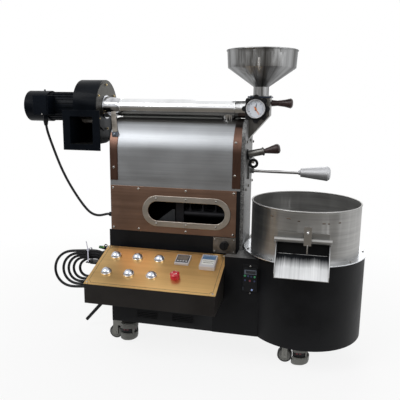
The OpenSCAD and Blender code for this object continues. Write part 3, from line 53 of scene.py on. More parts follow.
def at(x, y, z):
    """A point in the frame's metres from the roaster's own millimetres."""
    return (Vector((x, y, z)) - FRAME_ORIGIN) * MM


def own(point):
    """The roaster's own millimetres of a point in the frame."""
    return point / MM + FRAME_ORIGIN


# Camera
CAMERA_AT = (696.27, -1617.44, 850.27)
CAMERA_TURN = 13.03
CAMERA_TILT = 78.64
CAMERA_ROLL = 0.64
CAMERA_LENS = 45.133
CAMERA_SENSOR = 36.0


def make_camera():
    data = bpy.data.cameras.new("studio_camera")
    data.sensor_width = CAMERA_SENSOR
    data.lens = CAMERA_LENS
    camera = bpy.data.objects.new("studio_camera", data)
    bpy.context.scene.collection.objects.link(camera)
    turn = Matrix.Rotation(math.radians(CAMERA_TURN), 4, "Z")
    turn = turn @ Matrix.Rotation(math.radians(CAMERA_TILT), 4, "X")
    turn = turn @ Matrix.Rotation(math.radians(CAMERA_ROLL), 4, "Z")
    camera.matrix_world = Matrix.Translation(at(*CAMERA_AT)) @ turn
    bpy.context.scene.camera = camera


make_camera()


# Node trees of the materials
class Tree:
    """A material's or a group's nodes, with short ways to add to them."""

    def __init__(self, tree):
        self.tree = tree

    def add(self, kind, inputs=None, **settings):
        made = self.tree.nodes.new("ShaderNode" + kind)
        for name, value in settings.items():
            setattr(made, name, value)
        for name, value in (inputs or {}).items():
            socket = made.inputs[name]
            if isinstance(value, bpy.types.NodeSocket):
                self.tree.links.new(value, socket)
            else:
                socket.default_value = value
        return made

    def spot(self):
        return self.add("TexCoord").outputs["Object"]

    def scaled(self, vector, scale):
        return self.add("VectorMath", {0: vector, 1: scale}, operation="MULTIPLY").outputs[0]

    def noise(self, vector, scale, detail=2.0, rough=0.5):
        inputs = {"Vector": vector, "Scale": scale, "Detail": detail, "Roughness": rough}
        return self.add("TexNoise", inputs).outputs["Fac"]

    def maths(self, operation, a, b=0.0):
        return self.add("Math", {0: a, 1: b}, operation=operation).outputs[0]

    def weighed(self, first, weight, second):
        """The first times its weight, and the second times what is left of 1."""
        return self.maths("ADD", self.maths("MULTIPLY", first, weight),
                          self.maths("MULTIPLY", second, 1 - weight))

    def spread(self, value, low, high, to_low=0.0, to_high=1.0):
        inputs = {"Value": value, "From Min": low, "From Max": high, "To Min": to_low, "To Max": to_high}
        return self.add("MapRange", inputs).outputs["Result"]

    def mixed(self, share, first, second):
        colours = [one if isinstance(one, bpy.types.NodeSocket) else (*one, 1.0) for one in (first, second)]
        return self.add("Mix", {0: share, 6: colours[0], 7: colours[1]}, data_type="RGBA").outputs[2]

    def bumped(self, height, depth, distance):
        inputs = {"Height": height, "Strength": depth, "Distance": distance}
        return self.add("Bump", inputs).outputs["Normal"]

    def along(self, vector, axis):
        return self.add("SeparateXYZ", {"Vector": vector}).outputs[axis]


def make_group(name, inputs, outputs, fill):
    """A shader node group; inputs and outputs are {name: (kind, default)} and {name: kind}."""
    group = bpy.data.node_groups.new(name, "ShaderNodeTree")
    for label, (kind, default) in inputs.items():
        socket = group.interface.new_socket(label, in_out="INPUT", socket_type="NodeSocket" + kind)
        socket.default_value = default
    for label, kind in outputs.items():
        group.interface.new_socket(label, in_out="OUTPUT", socket_type="NodeSocket" + kind)
    entry = group.nodes.new("NodeGroupInput")
    end = group.nodes.new("NodeGroupOutput")
    for label, socket in fill(Tree(group), entry.outputs).items():
        group.links.new(socket, end.inputs[label])
    return group


def fill_grain(tree, given):
    """Fine parallel scratches with broad cloudy stains across them."""
    spot = tree.spot()
    stretched = tree.scaled(spot, given["Stretch"])
    fine = tree.noise(stretched, 1.0, 3.0, 0.65)
    coarse = tree.noise(tree.scaled(stretched, (0.17, 0.17, 0.17)), 1.0)
    streak = tree.spread(tree.weighed(fine, 0.5, coarse), 0.3, 0.7)
    cloud = tree.spread(tree.noise(spot, given["Clouds"], 3.0, 0.6), 0.32, 0.68)
    return {"Streak": streak, "Cloud": cloud, "Normal": tree.bumped(fine, given["Depth"], 0.0004)}


def fill_coat(tree, given):
    """Orange-peel surface of a sprayed coat, with faint blotches."""
    spot = tree.spot()
    peel = tree.noise(spot, given["Peel"])
    blotch = tree.spread(tree.noise(spot, 7.0, 4.0, 0.6), 0.3, 0.7)
    return {"Blotch": blotch, "Peel": tree.spread(peel, 0.3, 0.7),
            "Normal": tree.bumped(peel, given["Depth"], 0.0005)}


def fill_wear(tree, given):
    """Mask that is high where an edge has been rubbed."""
    rounded = tree.add("Bevel", {"Radius": given["Width"]}, samples=4).outputs["Normal"]
    flat = tree.add("NewGeometry").outputs["Normal"]
    bend = tree.add("VectorMath", {0: rounded, 1: flat}, operation="DOT_PRODUCT").outputs["Value"]
    chips = tree.spread(tree.noise(tree.spot(), 55.0, 4.0, 0.7), 0.46, 0.66)
    return {"Wear": tree.maths("MULTIPLY", tree.spread(bend, 0.985, 0.85), chips)}


def fill_dust(tree, given):
    """Mask of the dust that settles on what faces up."""
    lying = tree.spread(tree.along(tree.add("NewGeometry").outputs["Normal"], "Z"), 0.3, 1.0)
    patches = tree.spread(tree.noise(tree.spot(), 13.0, 5.0, 0.65), 0.42, 0.72)
    return {"Dust": tree.maths("MULTIPLY", lying, patches)}


GRAIN = make_group(
    "brushed_grain",
    {"Stretch": ("Vector", (8.0, 900.0, 900.0)), "Clouds": ("Float", 6.0), "Depth": ("Float", 0.2)},
    {"Streak": "Float", "Cloud": "Float", "Normal": "Vector"}, fill_grain)
COAT = make_group(
    "sprayed_coat",
    {"Peel": ("Float", 700.0), "Depth": ("Float", 0.3)},
    {"Blotch": "Float", "Peel": "Float", "Normal": "Vector"}, fill_coat)
WEAR = make_group("rubbed_edges", {"Width": ("Float", 0.0015)}, {"Wear": "Float"}, fill_wear)
DUST = make_group("settled_dust", {}, {"Dust": "Float"}, fill_dust)


def placed(tree, group, **values):
    node = tree.tree.nodes.new("ShaderNodeGroup")
    node.node_tree = group
    for name, value in values.items():
        node.inputs[name].default_value = value
    return node.outputs


def shader(name, **plain):
    """A material with its shader's plain sockets set; returns it, its tree and the shader's sockets."""
    made = bpy.data.materials.new(name)
    made.use_nodes = True
    sockets = made.node_tree.nodes["Principled BSDF"].inputs
    for label, value in plain.items():
        sockets[label.replace("_", " ")].default_value = value
    return made, Tree(made.node_tree), sockets


def join(tree, sockets, colour, roughness, normal):
    for label, value in (("Base Color", colour), ("Roughness", roughness), ("Normal", normal)):
        tree.tree.links.new(value, sockets[label])


RUBBED_WIDTH = 0.0016
RUBBED_GREY = (0.05, 0.05, 0.05)
DUST_GREY = (0.32, 0.31, 0.29)


def coated(name, dark, light, rough=(0.38, 0.55), peel=700.0, depth=0.35, dust=0.03, gloss=0.14):
    """Sprayed metal: dark and light are the blotches' colours, dust the share of it that settles."""
    made, tree, sockets = shader(name, Specular_IOR_Level=gloss)
    coat = placed(tree, COAT, Peel=peel, Depth=depth)
    wear = placed(tree, WEAR, Width=RUBBED_WIDTH)["Wear"]
    settled = placed(tree, DUST)["Dust"]
    colour = tree.mixed(coat["Blotch"], dark, light)
    colour = tree.mixed(tree.maths("MULTIPLY", wear, 0.5), colour, RUBBED_GREY)
    colour = tree.mixed(tree.maths("MULTIPLY", settled, dust), colour, DUST_GREY)
    join(tree, sockets, colour, tree.spread(coat["Blotch"], 0.0, 1.0, *rough), coat["Normal"])
    return made


def brushed(name, dark, light, stretch, rough=(0.25, 0.42), depth=0.25, clouds=6.0, painted_dark_band=None):
    """Bare metal with its scratches running one way, or every way where stretch is one number.

    The darkening band, where given, is an axis, where along it the metal starts and ends darkening, how far
    the scratches shift that, and the darkened metal's colour; this darkening is painted shade.
    """
    made, tree, sockets = shader(name, Metallic=1.0)
    stretch = stretch if isinstance(stretch, tuple) else (stretch, stretch, stretch)
    grain = placed(tree, GRAIN, Stretch=stretch, Clouds=clouds, Depth=depth)
    colour = tree.mixed(tree.weighed(grain["Streak"], 0.6, grain["Cloud"]), dark, light)
    # Painted shade: the metal darkens along one axis.
    if painted_dark_band:
        axis, start, end, ripple, dark_band_colour = painted_dark_band
        start, end = ((place - FRAME_ORIGIN["XYZ".index(axis)]) * MM for place in (start, end))
        shift = tree.maths("MULTIPLY", grain["Streak"], ripple * MM)
        along = tree.maths("ADD", tree.along(tree.spot(), axis), shift)
        colour = tree.mixed(tree.spread(along, start, end), colour, dark_band_colour)
    roughness = tree.spread(tree.maths("ADD", grain["Streak"], grain["Cloud"]), 0.0, 2.0, *rough)
    join(tree, sockets, colour, roughness, grain["Normal"])
    return made


def reflection_banded(name, centre, dark, light, edge, rough=(0.3, 0.42)):
    """Rolled sheet with painted reflections: light and dark bands upright round an axis; edge is its dark
    reflection seen aslant.
    """
    made, tree, sockets = shader(name, Metallic=1.0)
    grain = placed(tree, GRAIN, Stretch=(600.0, 600.0, 20.0), Clouds=9.0, Depth=0.15)
    away = tree.add("VectorMath", {0: tree.spot(), 1: at(*centre, 0)}, operation="SUBTRACT").outputs[0]
    flat = tree.scaled(away, (1.0, 1.0, 0.0))
    turned = tree.add("VectorMath", {0: flat}, operation="NORMALIZE").outputs[0]
    # Painted reflections: light and dark bands by the angle round the axis.
    wide = tree.spread(tree.noise(turned, 3.4, 1.0), 0.36, 0.62)
    narrow = tree.spread(tree.noise(turned, 14.0, 3.0, 0.6), 0.3, 0.7)
    colour = tree.mixed(tree.weighed(wide, 0.6, narrow), dark, light)
    # Painted dark reflection towards the outline, where the sheet is seen aslant.
    aslant = tree.add("LayerWeight", {"Blend": 0.35}).outputs["Facing"]
    colour = tree.mixed(tree.spread(aslant, 0.35, 0.9), colour, edge)
    join(tree, sockets, colour, tree.spread(grain["Cloud"], 0.0, 1.0, *rough), grain["Normal"])
    return made


def polished(name, colour, rough=(0.05, 0.14)):
    """Mirror-like metal with faint wiping marks."""
    made, tree, sockets = shader(name, Metallic=1.0)
    grain = placed(tree, GRAIN, Stretch=(30.0, 30.0, 30.0), Clouds=18.0, Depth=0.02)
    wiped = tuple(part * 0.86 for part in colour)
    roughness = tree.spread(grain["Cloud"], 0.0, 1.0, *rough)
    join(tree, sockets, tree.mixed(grain["Cloud"], wiped, colour), roughness, grain["Normal"])
    return made


def moulded(name, dark, light, rough=(0.35, 0.5), peel=1500.0, depth=0.15, **plain):
    """Plastic or rubber with a faint moulded texture."""
    made, tree, sockets = shader(name, **plain)
    coat = placed(tree, COAT, Peel=peel, Depth=depth)
    colour = tree.mixed(coat["Blotch"], dark, light)
    join(tree, sockets, colour, tree.spread(coat["Peel"], 0.0, 1.0, *rough), coat["Normal"])
    return made


def hammered(name, dark, light):
    """Grey paint with the dimples and speckles of a hammer finish."""
    made, tree, sockets = shader(name, Metallic=0.55)
    cells = tree.add("TexVoronoi", {"Vector": tree.spot(), "Scale": 260.0, "Randomness": 1.0})
    dimple = tree.spread(cells.outputs["Distance"], 0.05, 0.55)
    speck = tree.spread(tree.noise(tree.spot(), 190.0, 4.0, 0.75), 0.36, 0.62)
    colour = tree.mixed(tree.maths("MULTIPLY", dimple, speck), dark, light)
    join(tree, sockets, colour, tree.spread(speck, 0.0, 1.0, 0.34, 0.6), tree.bumped(dimple, 0.45, 0.0006))
    return made


def wooden(name, dark, light, pore):
    """Oiled dark wood with its grain along the handle."""
    made, tree, sockets = shader(name, Coat_Weight=0.15, Coat_Roughness=0.3, Specular_IOR_Level=0.3)
    spot = tree.spot()
    warp = tree.noise(spot, 40.0)
    lines = tree.noise(tree.scaled(spot, (30.0, 260.0, 260.0)), 1.0, 4.0, 0.7)
    rings = tree.maths("SINE", tree.maths("MULTIPLY", tree.maths("ADD", lines, warp), 22.0))
    pores = tree.spread(tree.noise(tree.scaled(spot, (120.0, 1400.0, 1400.0)), 1.0), 0.5, 0.62)
    colour = tree.mixed(tree.spread(rings, -1.0, 1.0), dark, light)
    colour = tree.mixed(tree.maths("MULTIPLY", pores, 0.6), colour, pore)
    join(tree, sockets, colour, tree.spread(lines, 0.3, 0.7, 0.32, 0.5), tree.bumped(pores, 0.2, 0.0004))
    return made


# Painted metal
BLACK = coated("black_powder_coat", (0.004, 0.0042, 0.005), (0.0085, 0.0088, 0.010))
DESK_BLACK = coated("desk_powder_coat", (0.014, 0.012, 0.011), (0.022, 0.0195, 0.018), rough=(0.5, 0.65))
MOTOR_BLACK = coated("motor_enamel", (0.002, 0.003, 0.0048), (0.0048, 0.0068, 0.0105), rough=(0.3, 0.42),
                     peel=260.0, depth=0.25, dust=0.01, gloss=0.06)
# Near-black painted shade: the blower duct's inside, the exhaust pipe's underside and neck, and the tray
# gate's blade.
SHADE_BLACK = coated("painted_shade_black", (0.002, 0.0022, 0.0026), (0.004, 0.0043, 0.005), rough=(0.6, 0.75))
CAST_GREY = hammered("hammered_grey", (0.065, 0.067, 0.07), (0.28, 0.28, 0.275))

# Bare sheet and bar
# The jacket's steel darkens above 774 mm, a painted shade of the exhaust pipe along its top.
STEEL = brushed("jacket_steel", (0.27, 0.28, 0.29), (0.41, 0.425, 0.45), (5.0, 420.0, 420.0),
                rough=(0.4, 0.52), painted_dark_band=("Z", 762, 774, 4, (0.045, 0.044, 0.042)))
SEAM_STEEL = brushed("seam_steel", (0.16, 0.165, 0.16), (0.30, 0.31, 0.30), (20.0, 200.0, 200.0),
                     rough=(0.45, 0.6))
FRAME_STEEL = brushed("window_frame_steel", (0.40, 0.37, 0.335), (0.58, 0.54, 0.485),
                      (30.0, 300.0, 300.0), rough=(0.36, 0.5))
TRAY_STEEL = brushed("tray_steel", (0.25, 0.25, 0.245), (0.47, 0.465, 0.455), (7.0, 7.0, 300.0),
                     rough=(0.4, 0.52), depth=0.2)
TRAY_FLOOR = brushed("tray_floor_steel", (0.10, 0.10, 0.10), (0.22, 0.22, 0.22), 60.0, rough=(0.4, 0.55))
# The spout's steel turns near-black towards the tray wall, a painted shade under the gate's blade.
CHUTE_STEEL = brushed("spout_steel", (0.46, 0.47, 0.48), (0.90, 0.91, 0.92), (240.0, 5.0, 5.0),
                      rough=(0.3, 0.42), depth=0.15,
                      painted_dark_band=("Y", -179.25, -153.25, -14, (0.02, 0.022, 0.025)))
DECK_STEEL = brushed("deck_ring_steel", (0.52, 0.54, 0.57), (0.86, 0.88, 0.91), 90.0, rough=(0.2, 0.34))
FEED_STEEL = brushed("dull_feed_steel", (0.10, 0.098, 0.092), (0.26, 0.255, 0.24), (120.0, 120.0, 9.0),
                     rough=(0.32, 0.5))
FLANGE_GREY = brushed("bluish_flange", (0.03, 0.04, 0.06), (0.07, 0.085, 0.115), 40.0, rough=(0.35, 0.5))
# The inlet plate's steel darkens below 792 mm, a painted shade.
INLET_STEEL = brushed("inlet_plate_steel", (0.05, 0.048, 0.042), (0.11, 0.107, 0.098), (20.0, 60.0, 60.0),
                      rough=(0.34, 0.5), depth=0.4, clouds=25.0,
                      painted_dark_band=("Z", 812, 792, 0, (0.012, 0.014, 0.018)))
PLAIN_STEEL = brushed("turned_steel", (0.30, 0.29, 0.28), (0.50, 0.49, 0.47), 160.0, rough=(0.25, 0.45),
                      depth=0.15)
LATCH_STEEL = brushed("latch_plate_steel", (0.42, 0.41, 0.39), (0.60, 0.59, 0.56), (160.0, 160.0, 30.0),
                      rough=(0.45, 0.6))
DULL_STEEL = brushed("heat_dulled_steel", (0.08, 0.076, 0.07), (0.20, 0.19, 0.17), (40.0, 160.0, 160.0),
                     rough=(0.4, 0.6), depth=0.3)
BURNER_STEEL = brushed("burner_steel", (0.02, 0.02, 0.022), (0.05, 0.05, 0.055), (40.0, 160.0, 160.0),
                       rough=(0.5, 0.65), depth=0.3)
# Lighter grey for the burner's gusset, a painted highlight of its lit edge.
BURNER_GREY = brushed("burner_gusset_painted_highlight", (0.06, 0.065, 0.07), (0.12, 0.125, 0.135), 60.0, rough=(0.45, 0.6))
HANGER_STEEL = brushed("hanger_steel", (0.16, 0.145, 0.125), (0.33, 0.30, 0.27), 60.0, rough=(0.4, 0.52),
                       depth=0.4, clouds=60.0)
CLAMP_GREY = brushed("clamp_zinc", (0.14, 0.165, 0.20), (0.30, 0.335, 0.40), 80.0, rough=(0.4, 0.5),
                     depth=0.5, clouds=90.0)
COPPER = brushed("brown_copper_sheet", (0.215, 0.134, 0.098), (0.35, 0.223, 0.166), (6.0, 380.0, 380.0),
                 rough=(0.36, 0.5), depth=0.2)
# The straps' copper darkens above 763 mm, a painted shade under the exhaust pipe.
STRAP_COPPER = brushed("copper_strap", (0.085, 0.050, 0.037), (0.165, 0.094, 0.072), (300.0, 30.0, 30.0),
                       rough=(0.3, 0.42), depth=0.2, painted_dark_band=("Z", 756, 763, 0, (0.020, 0.015, 0.013)))
GOLD = brushed("gold_panel", (0.60, 0.375, 0.145), (0.84, 0.56, 0.245), (5.0, 300.0, 900.0),
               rough=(0.3, 0.42), depth=0.12, clouds=3.0)
SATIN = brushed("satin_aluminium", (0.45, 0.455, 0.47), (0.60, 0.605, 0.625), (8.0, 300.0, 300.0),
                rough=(0.52, 0.66), depth=0.2)
ZINC = brushed("caster_zinc", (0.13, 0.13, 0.12), (0.24, 0.24, 0.225), 40.0, rough=(0.38, 0.55),
               depth=0.3, clouds=20.0)
# The hopper's bands and darker outline are painted reflections.
HOPPER_AT = (503.5, 110)
HOPPER_STEEL = reflection_banded("hopper_steel_painted_reflections", HOPPER_AT, (0.075, 0.073, 0.068), (0.40, 0.405, 0.41),
                      (0.03, 0.035, 0.04))

# Plated metal
CHROME = polished("chrome", (0.80, 0.80, 0.81))
BUTTON_CHROME = polished("button_chrome", (0.62, 0.66, 0.74), (0.2, 0.34))
PIPE_CHROME = polished("pipe_chrome", (0.86, 0.87, 0.88), (0.07, 0.15))
# The reducer's chrome: its big dark and light clouds are painted reflections.
REDUCER_CHROME = brushed("reducer_chrome_painted_reflections", (0.05, 0.055, 0.07), (0.86, 0.87, 0.90), 45.0,
                         rough=(0.07, 0.15), depth=0.05, clouds=38.0)
BRASS = polished("brass_plated", (0.62, 0.50, 0.27), (0.2, 0.35))

# Wood, plastic, rubber and ink
WOOD = wooden("dark_wood", (0.020, 0.0105, 0.010), (0.052, 0.028, 0.026), (0.012, 0.007, 0.006))
CASTER_GREY = moulded("caster_grey_paint", (0.11, 0.11, 0.10), (0.20, 0.20, 0.185), (0.4, 0.55))
TYRE = moulded("dark_tyre", (0.018, 0.018, 0.017), (0.035, 0.035, 0.033), (0.5, 0.65))
BLACK_PLASTIC = moulded("black_plastic", (0.005, 0.0055, 0.0065), (0.011, 0.0115, 0.013),
                        Specular_IOR_Level=0.2)
CORD_SHEATH = moulded("cord_sheath", (0.004, 0.0044, 0.0055), (0.009, 0.0095, 0.0115), (0.32, 0.46),
                      peel=900.0, depth=0.12, Specular_IOR_Level=0.25)
RED_PLASTIC = moulded("red_plastic", (0.42, 0.010, 0.022), (0.56, 0.017, 0.034), (0.24, 0.34))
DARK_RED = moulded("dark_red_plastic", (0.10, 0.012, 0.02), (0.17, 0.02, 0.033), (0.4, 0.5))
PALE_GREY = moulded("pale_grey_plastic", (0.43, 0.42, 0.43), (0.53, 0.51, 0.52), (0.28, 0.4))
WHITE_PLASTIC = moulded("white_plastic", (0.62, 0.62, 0.58), (0.74, 0.74, 0.70), (0.35, 0.45))
BLUE_WINDOW = moulded("blue_window", (0.05, 0.10, 0.19), (0.12, 0.21, 0.34), (0.1, 0.18),
                      peel=120.0, depth=0.02, Coat_Weight=0.4)
NYLON = moulded("nylon_tie", (0.56, 0.56, 0.66), (0.70, 0.70, 0.78), (0.3, 0.45))
DIAL_WHITE = moulded("dial_white", (0.60, 0.63, 0.68), (0.68, 0.71, 0.76), (0.3, 0.4))
ORANGE = moulded("orange_paint", (0.62, 0.17, 0.03), (0.74, 0.23, 0.05), (0.35, 0.45))
INK = moulded("black_ink", (0.030, 0.022, 0.014), (0.05, 0.038, 0.026), (0.45, 0.55))
POINTER_GREY = moulded("pointer_grey", (0.07, 0.085, 0.11), (0.11, 0.13, 0.16), (0.35, 0.45))
DARK_GLASS = moulded("display_window", (0.020, 0.021, 0.026), (0.035, 0.036, 0.042), (0.12, 0.2),
                     peel=300.0, depth=0.01)
GREEN_KEY = moulded("green_key", (0.03, 0.20, 0.09), (0.05, 0.28, 0.12), (0.4, 0.5))
BLUE_KEY = moulded("blue_key", (0.012, 0.02, 0.07), (0.02, 0.032, 0.10), (0.4, 0.5))
PALE_BLUE = moulded("pale_blue_lamp", (0.25, 0.36, 0.75), (0.36, 0.48, 0.85), (0.2, 0.3))
GREEN_WIRE = moulded("green_wire", (0.03, 0.22, 0.04), (0.05, 0.30, 0.05), (0.35, 0.45))
YELLOW_WIRE = moulded("yellow_wire", (0.62, 0.55, 0.05), (0.70, 0.62, 0.07), (0.35, 0.45))
BLUE_WIRE = moulded("blue_wire", (0.02, 0.05, 0.28), (0.03, 0.07, 0.36), (0.35, 0.45))
HEAT_MARK = moulded("heat_mark", (0.055, 0.04, 0.03), (0.11, 0.085, 0.065), (0.35, 0.5),
                    peel=300.0, depth=0.2, Metallic=0.7)


# Mesh helpers
BEVEL_ANGLE = 38
DOUBLES_APART = 2e-6
FLAT_WITHIN = 0.5
CORNER_STEPS = 6


def turned_to(direction):
    """Rotation that takes the Z axis to a direction."""
    return Vector(UP).rotation_difference(Vector(direction)).to_matrix().to_4x4()


def add_piece(name, shape, material, slot, body="frame", bevel=0.0, smooth=35.0, replaced=()):
    """Links a piece, smooths it below an angle, rounds its edges and lets it ride on its body."""
    if isinstance(shape, bmesh.types.BMesh):
        mesh = bpy.data.meshes.new(name)
        shape.to_mesh(mesh)
        shape.free()
        mesh.polygons.foreach_set("use_smooth", [True] * len(mesh.polygons))
        mesh.set_sharp_from_angle(angle=math.radians(smooth))
        shape = mesh
    shape.materials.append(material)
    made = bpy.data.objects.new(name, shape)
    bpy.context.scene.collection.objects.link(made)
    if bevel:
        rounding = made.modifiers.new("rounded_edges", "BEVEL")
        rounding.width = bevel * MM
        rounding.segments = 2
        rounding.limit_method = "ANGLE"
        rounding.angle_limit = math.radians(BEVEL_ANGLE)
        rounding.harden_normals = True
    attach(made, body)
    if replaced:
        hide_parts(*replaced)
    return made


def added_since(bm, known):
    """The corners a mesh has gained since known was noted."""
    return [vert for vert in bm.verts if vert not in known]


def lathe(bm, profile, centre, axis=UP, steps=64):
    """Turns an outline of (radius, height) about an axis through centre, in millimetres."""
    known = set(bm.verts)
    ring = [bm.verts.new((radius * MM, 0, height * MM)) for radius, height in profile]
    edges = [bm.edges.new(pair) for pair in zip(ring, ring[1:])]
    bmesh.ops.spin(bm, geom=ring + edges, cent=(0, 0, 0), axis=UP, angle=FULL_TURN, steps=steps,
                   use_merge=True)
    bmesh.ops.remove_doubles(bm, verts=added_since(bm, known), dist=1e-6)
    made = added_since(bm, known)
    faces = list({face for vert in made for face in vert.link_faces})
    bmesh.ops.recalc_face_normals(bm, faces=faces)
    bmesh.ops.transform(bm, matrix=Matrix.Translation(at(*centre)) @ turned_to(axis), verts=made)


def swept(bm, profile, start, sweep, steps):
    """A closed outline of (radius, height), swept some degrees about the Z axis from a start on."""
    turn = Matrix.Rotation(math.radians(start), 4, "Z")
    face = bm.faces.new([bm.verts.new(turn @ Vector((radius * MM, 0, height * MM)))
                         for radius, height in profile])
    bmesh.ops.spin(bm, geom=[face, *face.edges, *face.verts], cent=(0, 0, 0), axis=UP,
                   angle=math.radians(sweep), steps=steps)


def turned_piece(name, profile, centre, axis, steps, material, slot, **finish):
    """A piece of one turned shape."""
    bm = bmesh.new()
    lathe(bm, profile, centre, axis, steps)
    return add_piece(name, bm, material, slot, **finish)


def raised(bm, faces, depth):
    """Makes flat faces depth thick along the Z axis."""
    made = bmesh.ops.extrude_face_region(bm, geom=faces)["geom"]
    lifted = [item for item in made if isinstance(item, bmesh.types.BMVert)]
    bmesh.ops.translate(bm, verts=lifted, vec=(0, 0, depth * MM))


def slab(bm, outline, depth, place):
    """A flat outline in millimetres, made depth thick along its normal and put in place."""
    raised(bm, [bm.faces.new([bm.verts.new((x * MM, y * MM, 0)) for x, y in outline])], depth)
    bmesh.ops.recalc_face_normals(bm, faces=bm.faces)
    bmesh.ops.transform(bm, matrix=place, verts=bm.verts)


def hollow_slab(bm, outer, inner, depth, place):
    """The wall between two outlines with as many points each, made depth thick and put in place."""
    far, near = [[bm.verts.new((x * MM, y * MM, 0)) for x, y in outline] for outline in (outer, inner)]
    wall = [bm.faces.new([far[i - 1], far[i], near[i], near[i - 1]]) for i in range(len(far))]
    raised(bm, wall, depth)
    bmesh.ops.recalc_face_normals(bm, faces=bm.faces)
    bmesh.ops.transform(bm, matrix=place, verts=bm.verts)


def block(bm, low, high, place=None):
    """A box between two corners in millimetres, in the frame or on a given place."""
    verts = bmesh.ops.create_cube(bm, size=1.0)["verts"]
    low, high = (Vector(corner) * MM if place else at(*corner) for corner in (low, high))
    bmesh.ops.scale(bm, verts=verts, vec=high - low)
    bmesh.ops.translate(bm, verts=verts, vec=(low + high) / 2)
    if place:
        bmesh.ops.transform(bm, matrix=place, verts=verts)


def block_piece(name, boxes, material, slot, place=None, **finish):
    """A piece of boxes, each given by its low and high corner."""
    bm = bmesh.new()
    for low, high in boxes:
        block(bm, low, high, place)
    return add_piece(name, bm, material, slot, **finish)


def round_box(width, height, radius):
    """Outline of a rectangle about its middle with round corners."""
    points = []
    for corner, (sx, sy) in enumerate(((1, 1), (-1, 1), (-1, -1), (1, -1))):
        cx, cy = sx * (width / 2 - radius), sy * (height / 2 - radius)
        for i in range(CORNER_STEPS + 1):
            angle = QUARTER_TURN * (corner + i / CORNER_STEPS)
            points.append((cx + radius * math.cos(angle), cy + radius * math.sin(angle)))
    return points


def node_mesh(node):
    """A copy of a node's own shape with its seams merged and its flat faces whole."""
    bm = bmesh.new()
    bm.from_mesh(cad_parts[node].data)
    bmesh.ops.remove_doubles(bm, verts=bm.verts, dist=DOUBLES_APART)
    bmesh.ops.dissolve_limit(bm, angle_limit=math.radians(FLAT_WITHIN), verts=bm.verts, edges=bm.edges)
    return bm


def dressed(node, material, slot, bevel, body="frame"):
    """A node's own shape with its edges rounded, which stands for the node."""
    return add_piece(node + "_dressed", node_mesh(node), material, slot, body, bevel, replaced=[node])


# Cords: the blower motor's cable and the tied hank of supply cord
CABLE_DIAMETER = 9.0
CORD_DIAMETER = 10.0
CABLE_ROUTE = [
    (-262, 40, 773), (-262, 40, 755), (-258, 40, 730), (-245, 39, 695), (-228, 38, 650),
    (-208, 37, 600), (-182, 36, 550), (-150, 36, 500), (-120, 36, 460), (-98, 36, 438),
    (-74, 38, 429), (-52, 39, 432), (-38, 40, 437), (-30, 40, 438), (-24, 40, 438)]
CORD_ROUTE = [
    (8, 185, 285), (-10, 185, 285), (-28, 181, 285), (-42, 171, 284), (-51, 156, 283),
    (-55, 140, 282), (-56, 120, 281), (-56, 102, 281), (-57, 86, 282), (-60, 72, 283),
    (-73, 53, 280), (-90, 43.5, 275), (-112, 43, 265)]
# Left, right, top, bottom and depth of each turn of the hank, and of where the last one ends
HANK_TURNS = [
    (-150, -51, 258, 192, 40.7), (-172, -41, 268, 185, 33.0), (-190, -30.5, 278, 176.5, 27.0),
    (-209, -19, 288, 168, 22.4), (-241, -7, 298.5, 158.5, 19.3), (-241, 6, 309, 170.5, 30.0)]
TURN_POINTS = 28
HANK_LEAN = 0.09
HANK_MIDDLE = -110
FIRST_HANK_POINT = 5
BLEND_FROM = 0.68
EASING_PASSES = 12
LINE_STEPS = 4


def smooth_line(points):
    """Points along a smooth line through the given ones, with its corners eased."""
    ends = [points[0], *points, points[-1]]
    line = []
    for a, b, c, d in zip(ends, ends[1:], ends[2:], ends[3:]):
        a, b, c, d = Vector(a), Vector(b), Vector(c), Vector(d)
        for i in range(LINE_STEPS):
            t = i / LINE_STEPS
            line.append(b + t * (c - a) / 2 + t * t * (a - 2.5 * b + 2 * c - d / 2)
                        + t * t * t * (1.5 * b - a / 2 - 1.5 * c + d / 2))
    line.append(Vector(points[-1]))
    for _ in range(EASING_PASSES):
        eased = [(a + b * 2 + c) / 4 for a, b, c in zip(line, line[1:], line[2:])]
        line = [line[0], *eased, line[-1]]
    return line


def hank_point(turn, share):
    """Place at a share of one turn of the hank, a stadium that goes over into the next turn's."""
    here = HANK_TURNS[turn]
    after = HANK_TURNS[min(turn + 1, len(HANK_TURNS) - 1)]
    blend = max(0.0, (share - BLEND_FROM) / (1 - BLEND_FROM))
    blend = blend * blend * (3 - 2 * blend)
    left, right, top, bottom, y = (a + (b - a) * blend for a, b in zip(here, after))
    radius = (top - bottom) / 2
    middle = (top + bottom) / 2
    bend = math.pi * radius
    straight = right - left - 2 * radius
    run = share * 2 * (straight + bend)
    if run < straight:
        x, z = right - radius - run, top
    elif run < straight + bend:
        angle = QUARTER_TURN + (run - straight) / radius
        x, z = left + radius + radius * math.cos(angle), middle + radius * math.sin(angle)
    elif run < 2 * straight + bend:
        x, z = left + radius + run - straight - bend, bottom
    else:
        angle = -QUARTER_TURN + (run - 2 * straight - bend) / radius
        x, z = right - radius + radius * math.cos(angle), middle + radius * math.sin(angle)
    return x, y, z + HANK_LEAN * (x - HANK_MIDDLE)


def hank_line():
    last = (len(HANK_TURNS) - 1) * TURN_POINTS
    return [hank_point(i // TURN_POINTS, i % TURN_POINTS / TURN_POINTS)
            for i in range(FIRST_HANK_POINT, last + 1)]


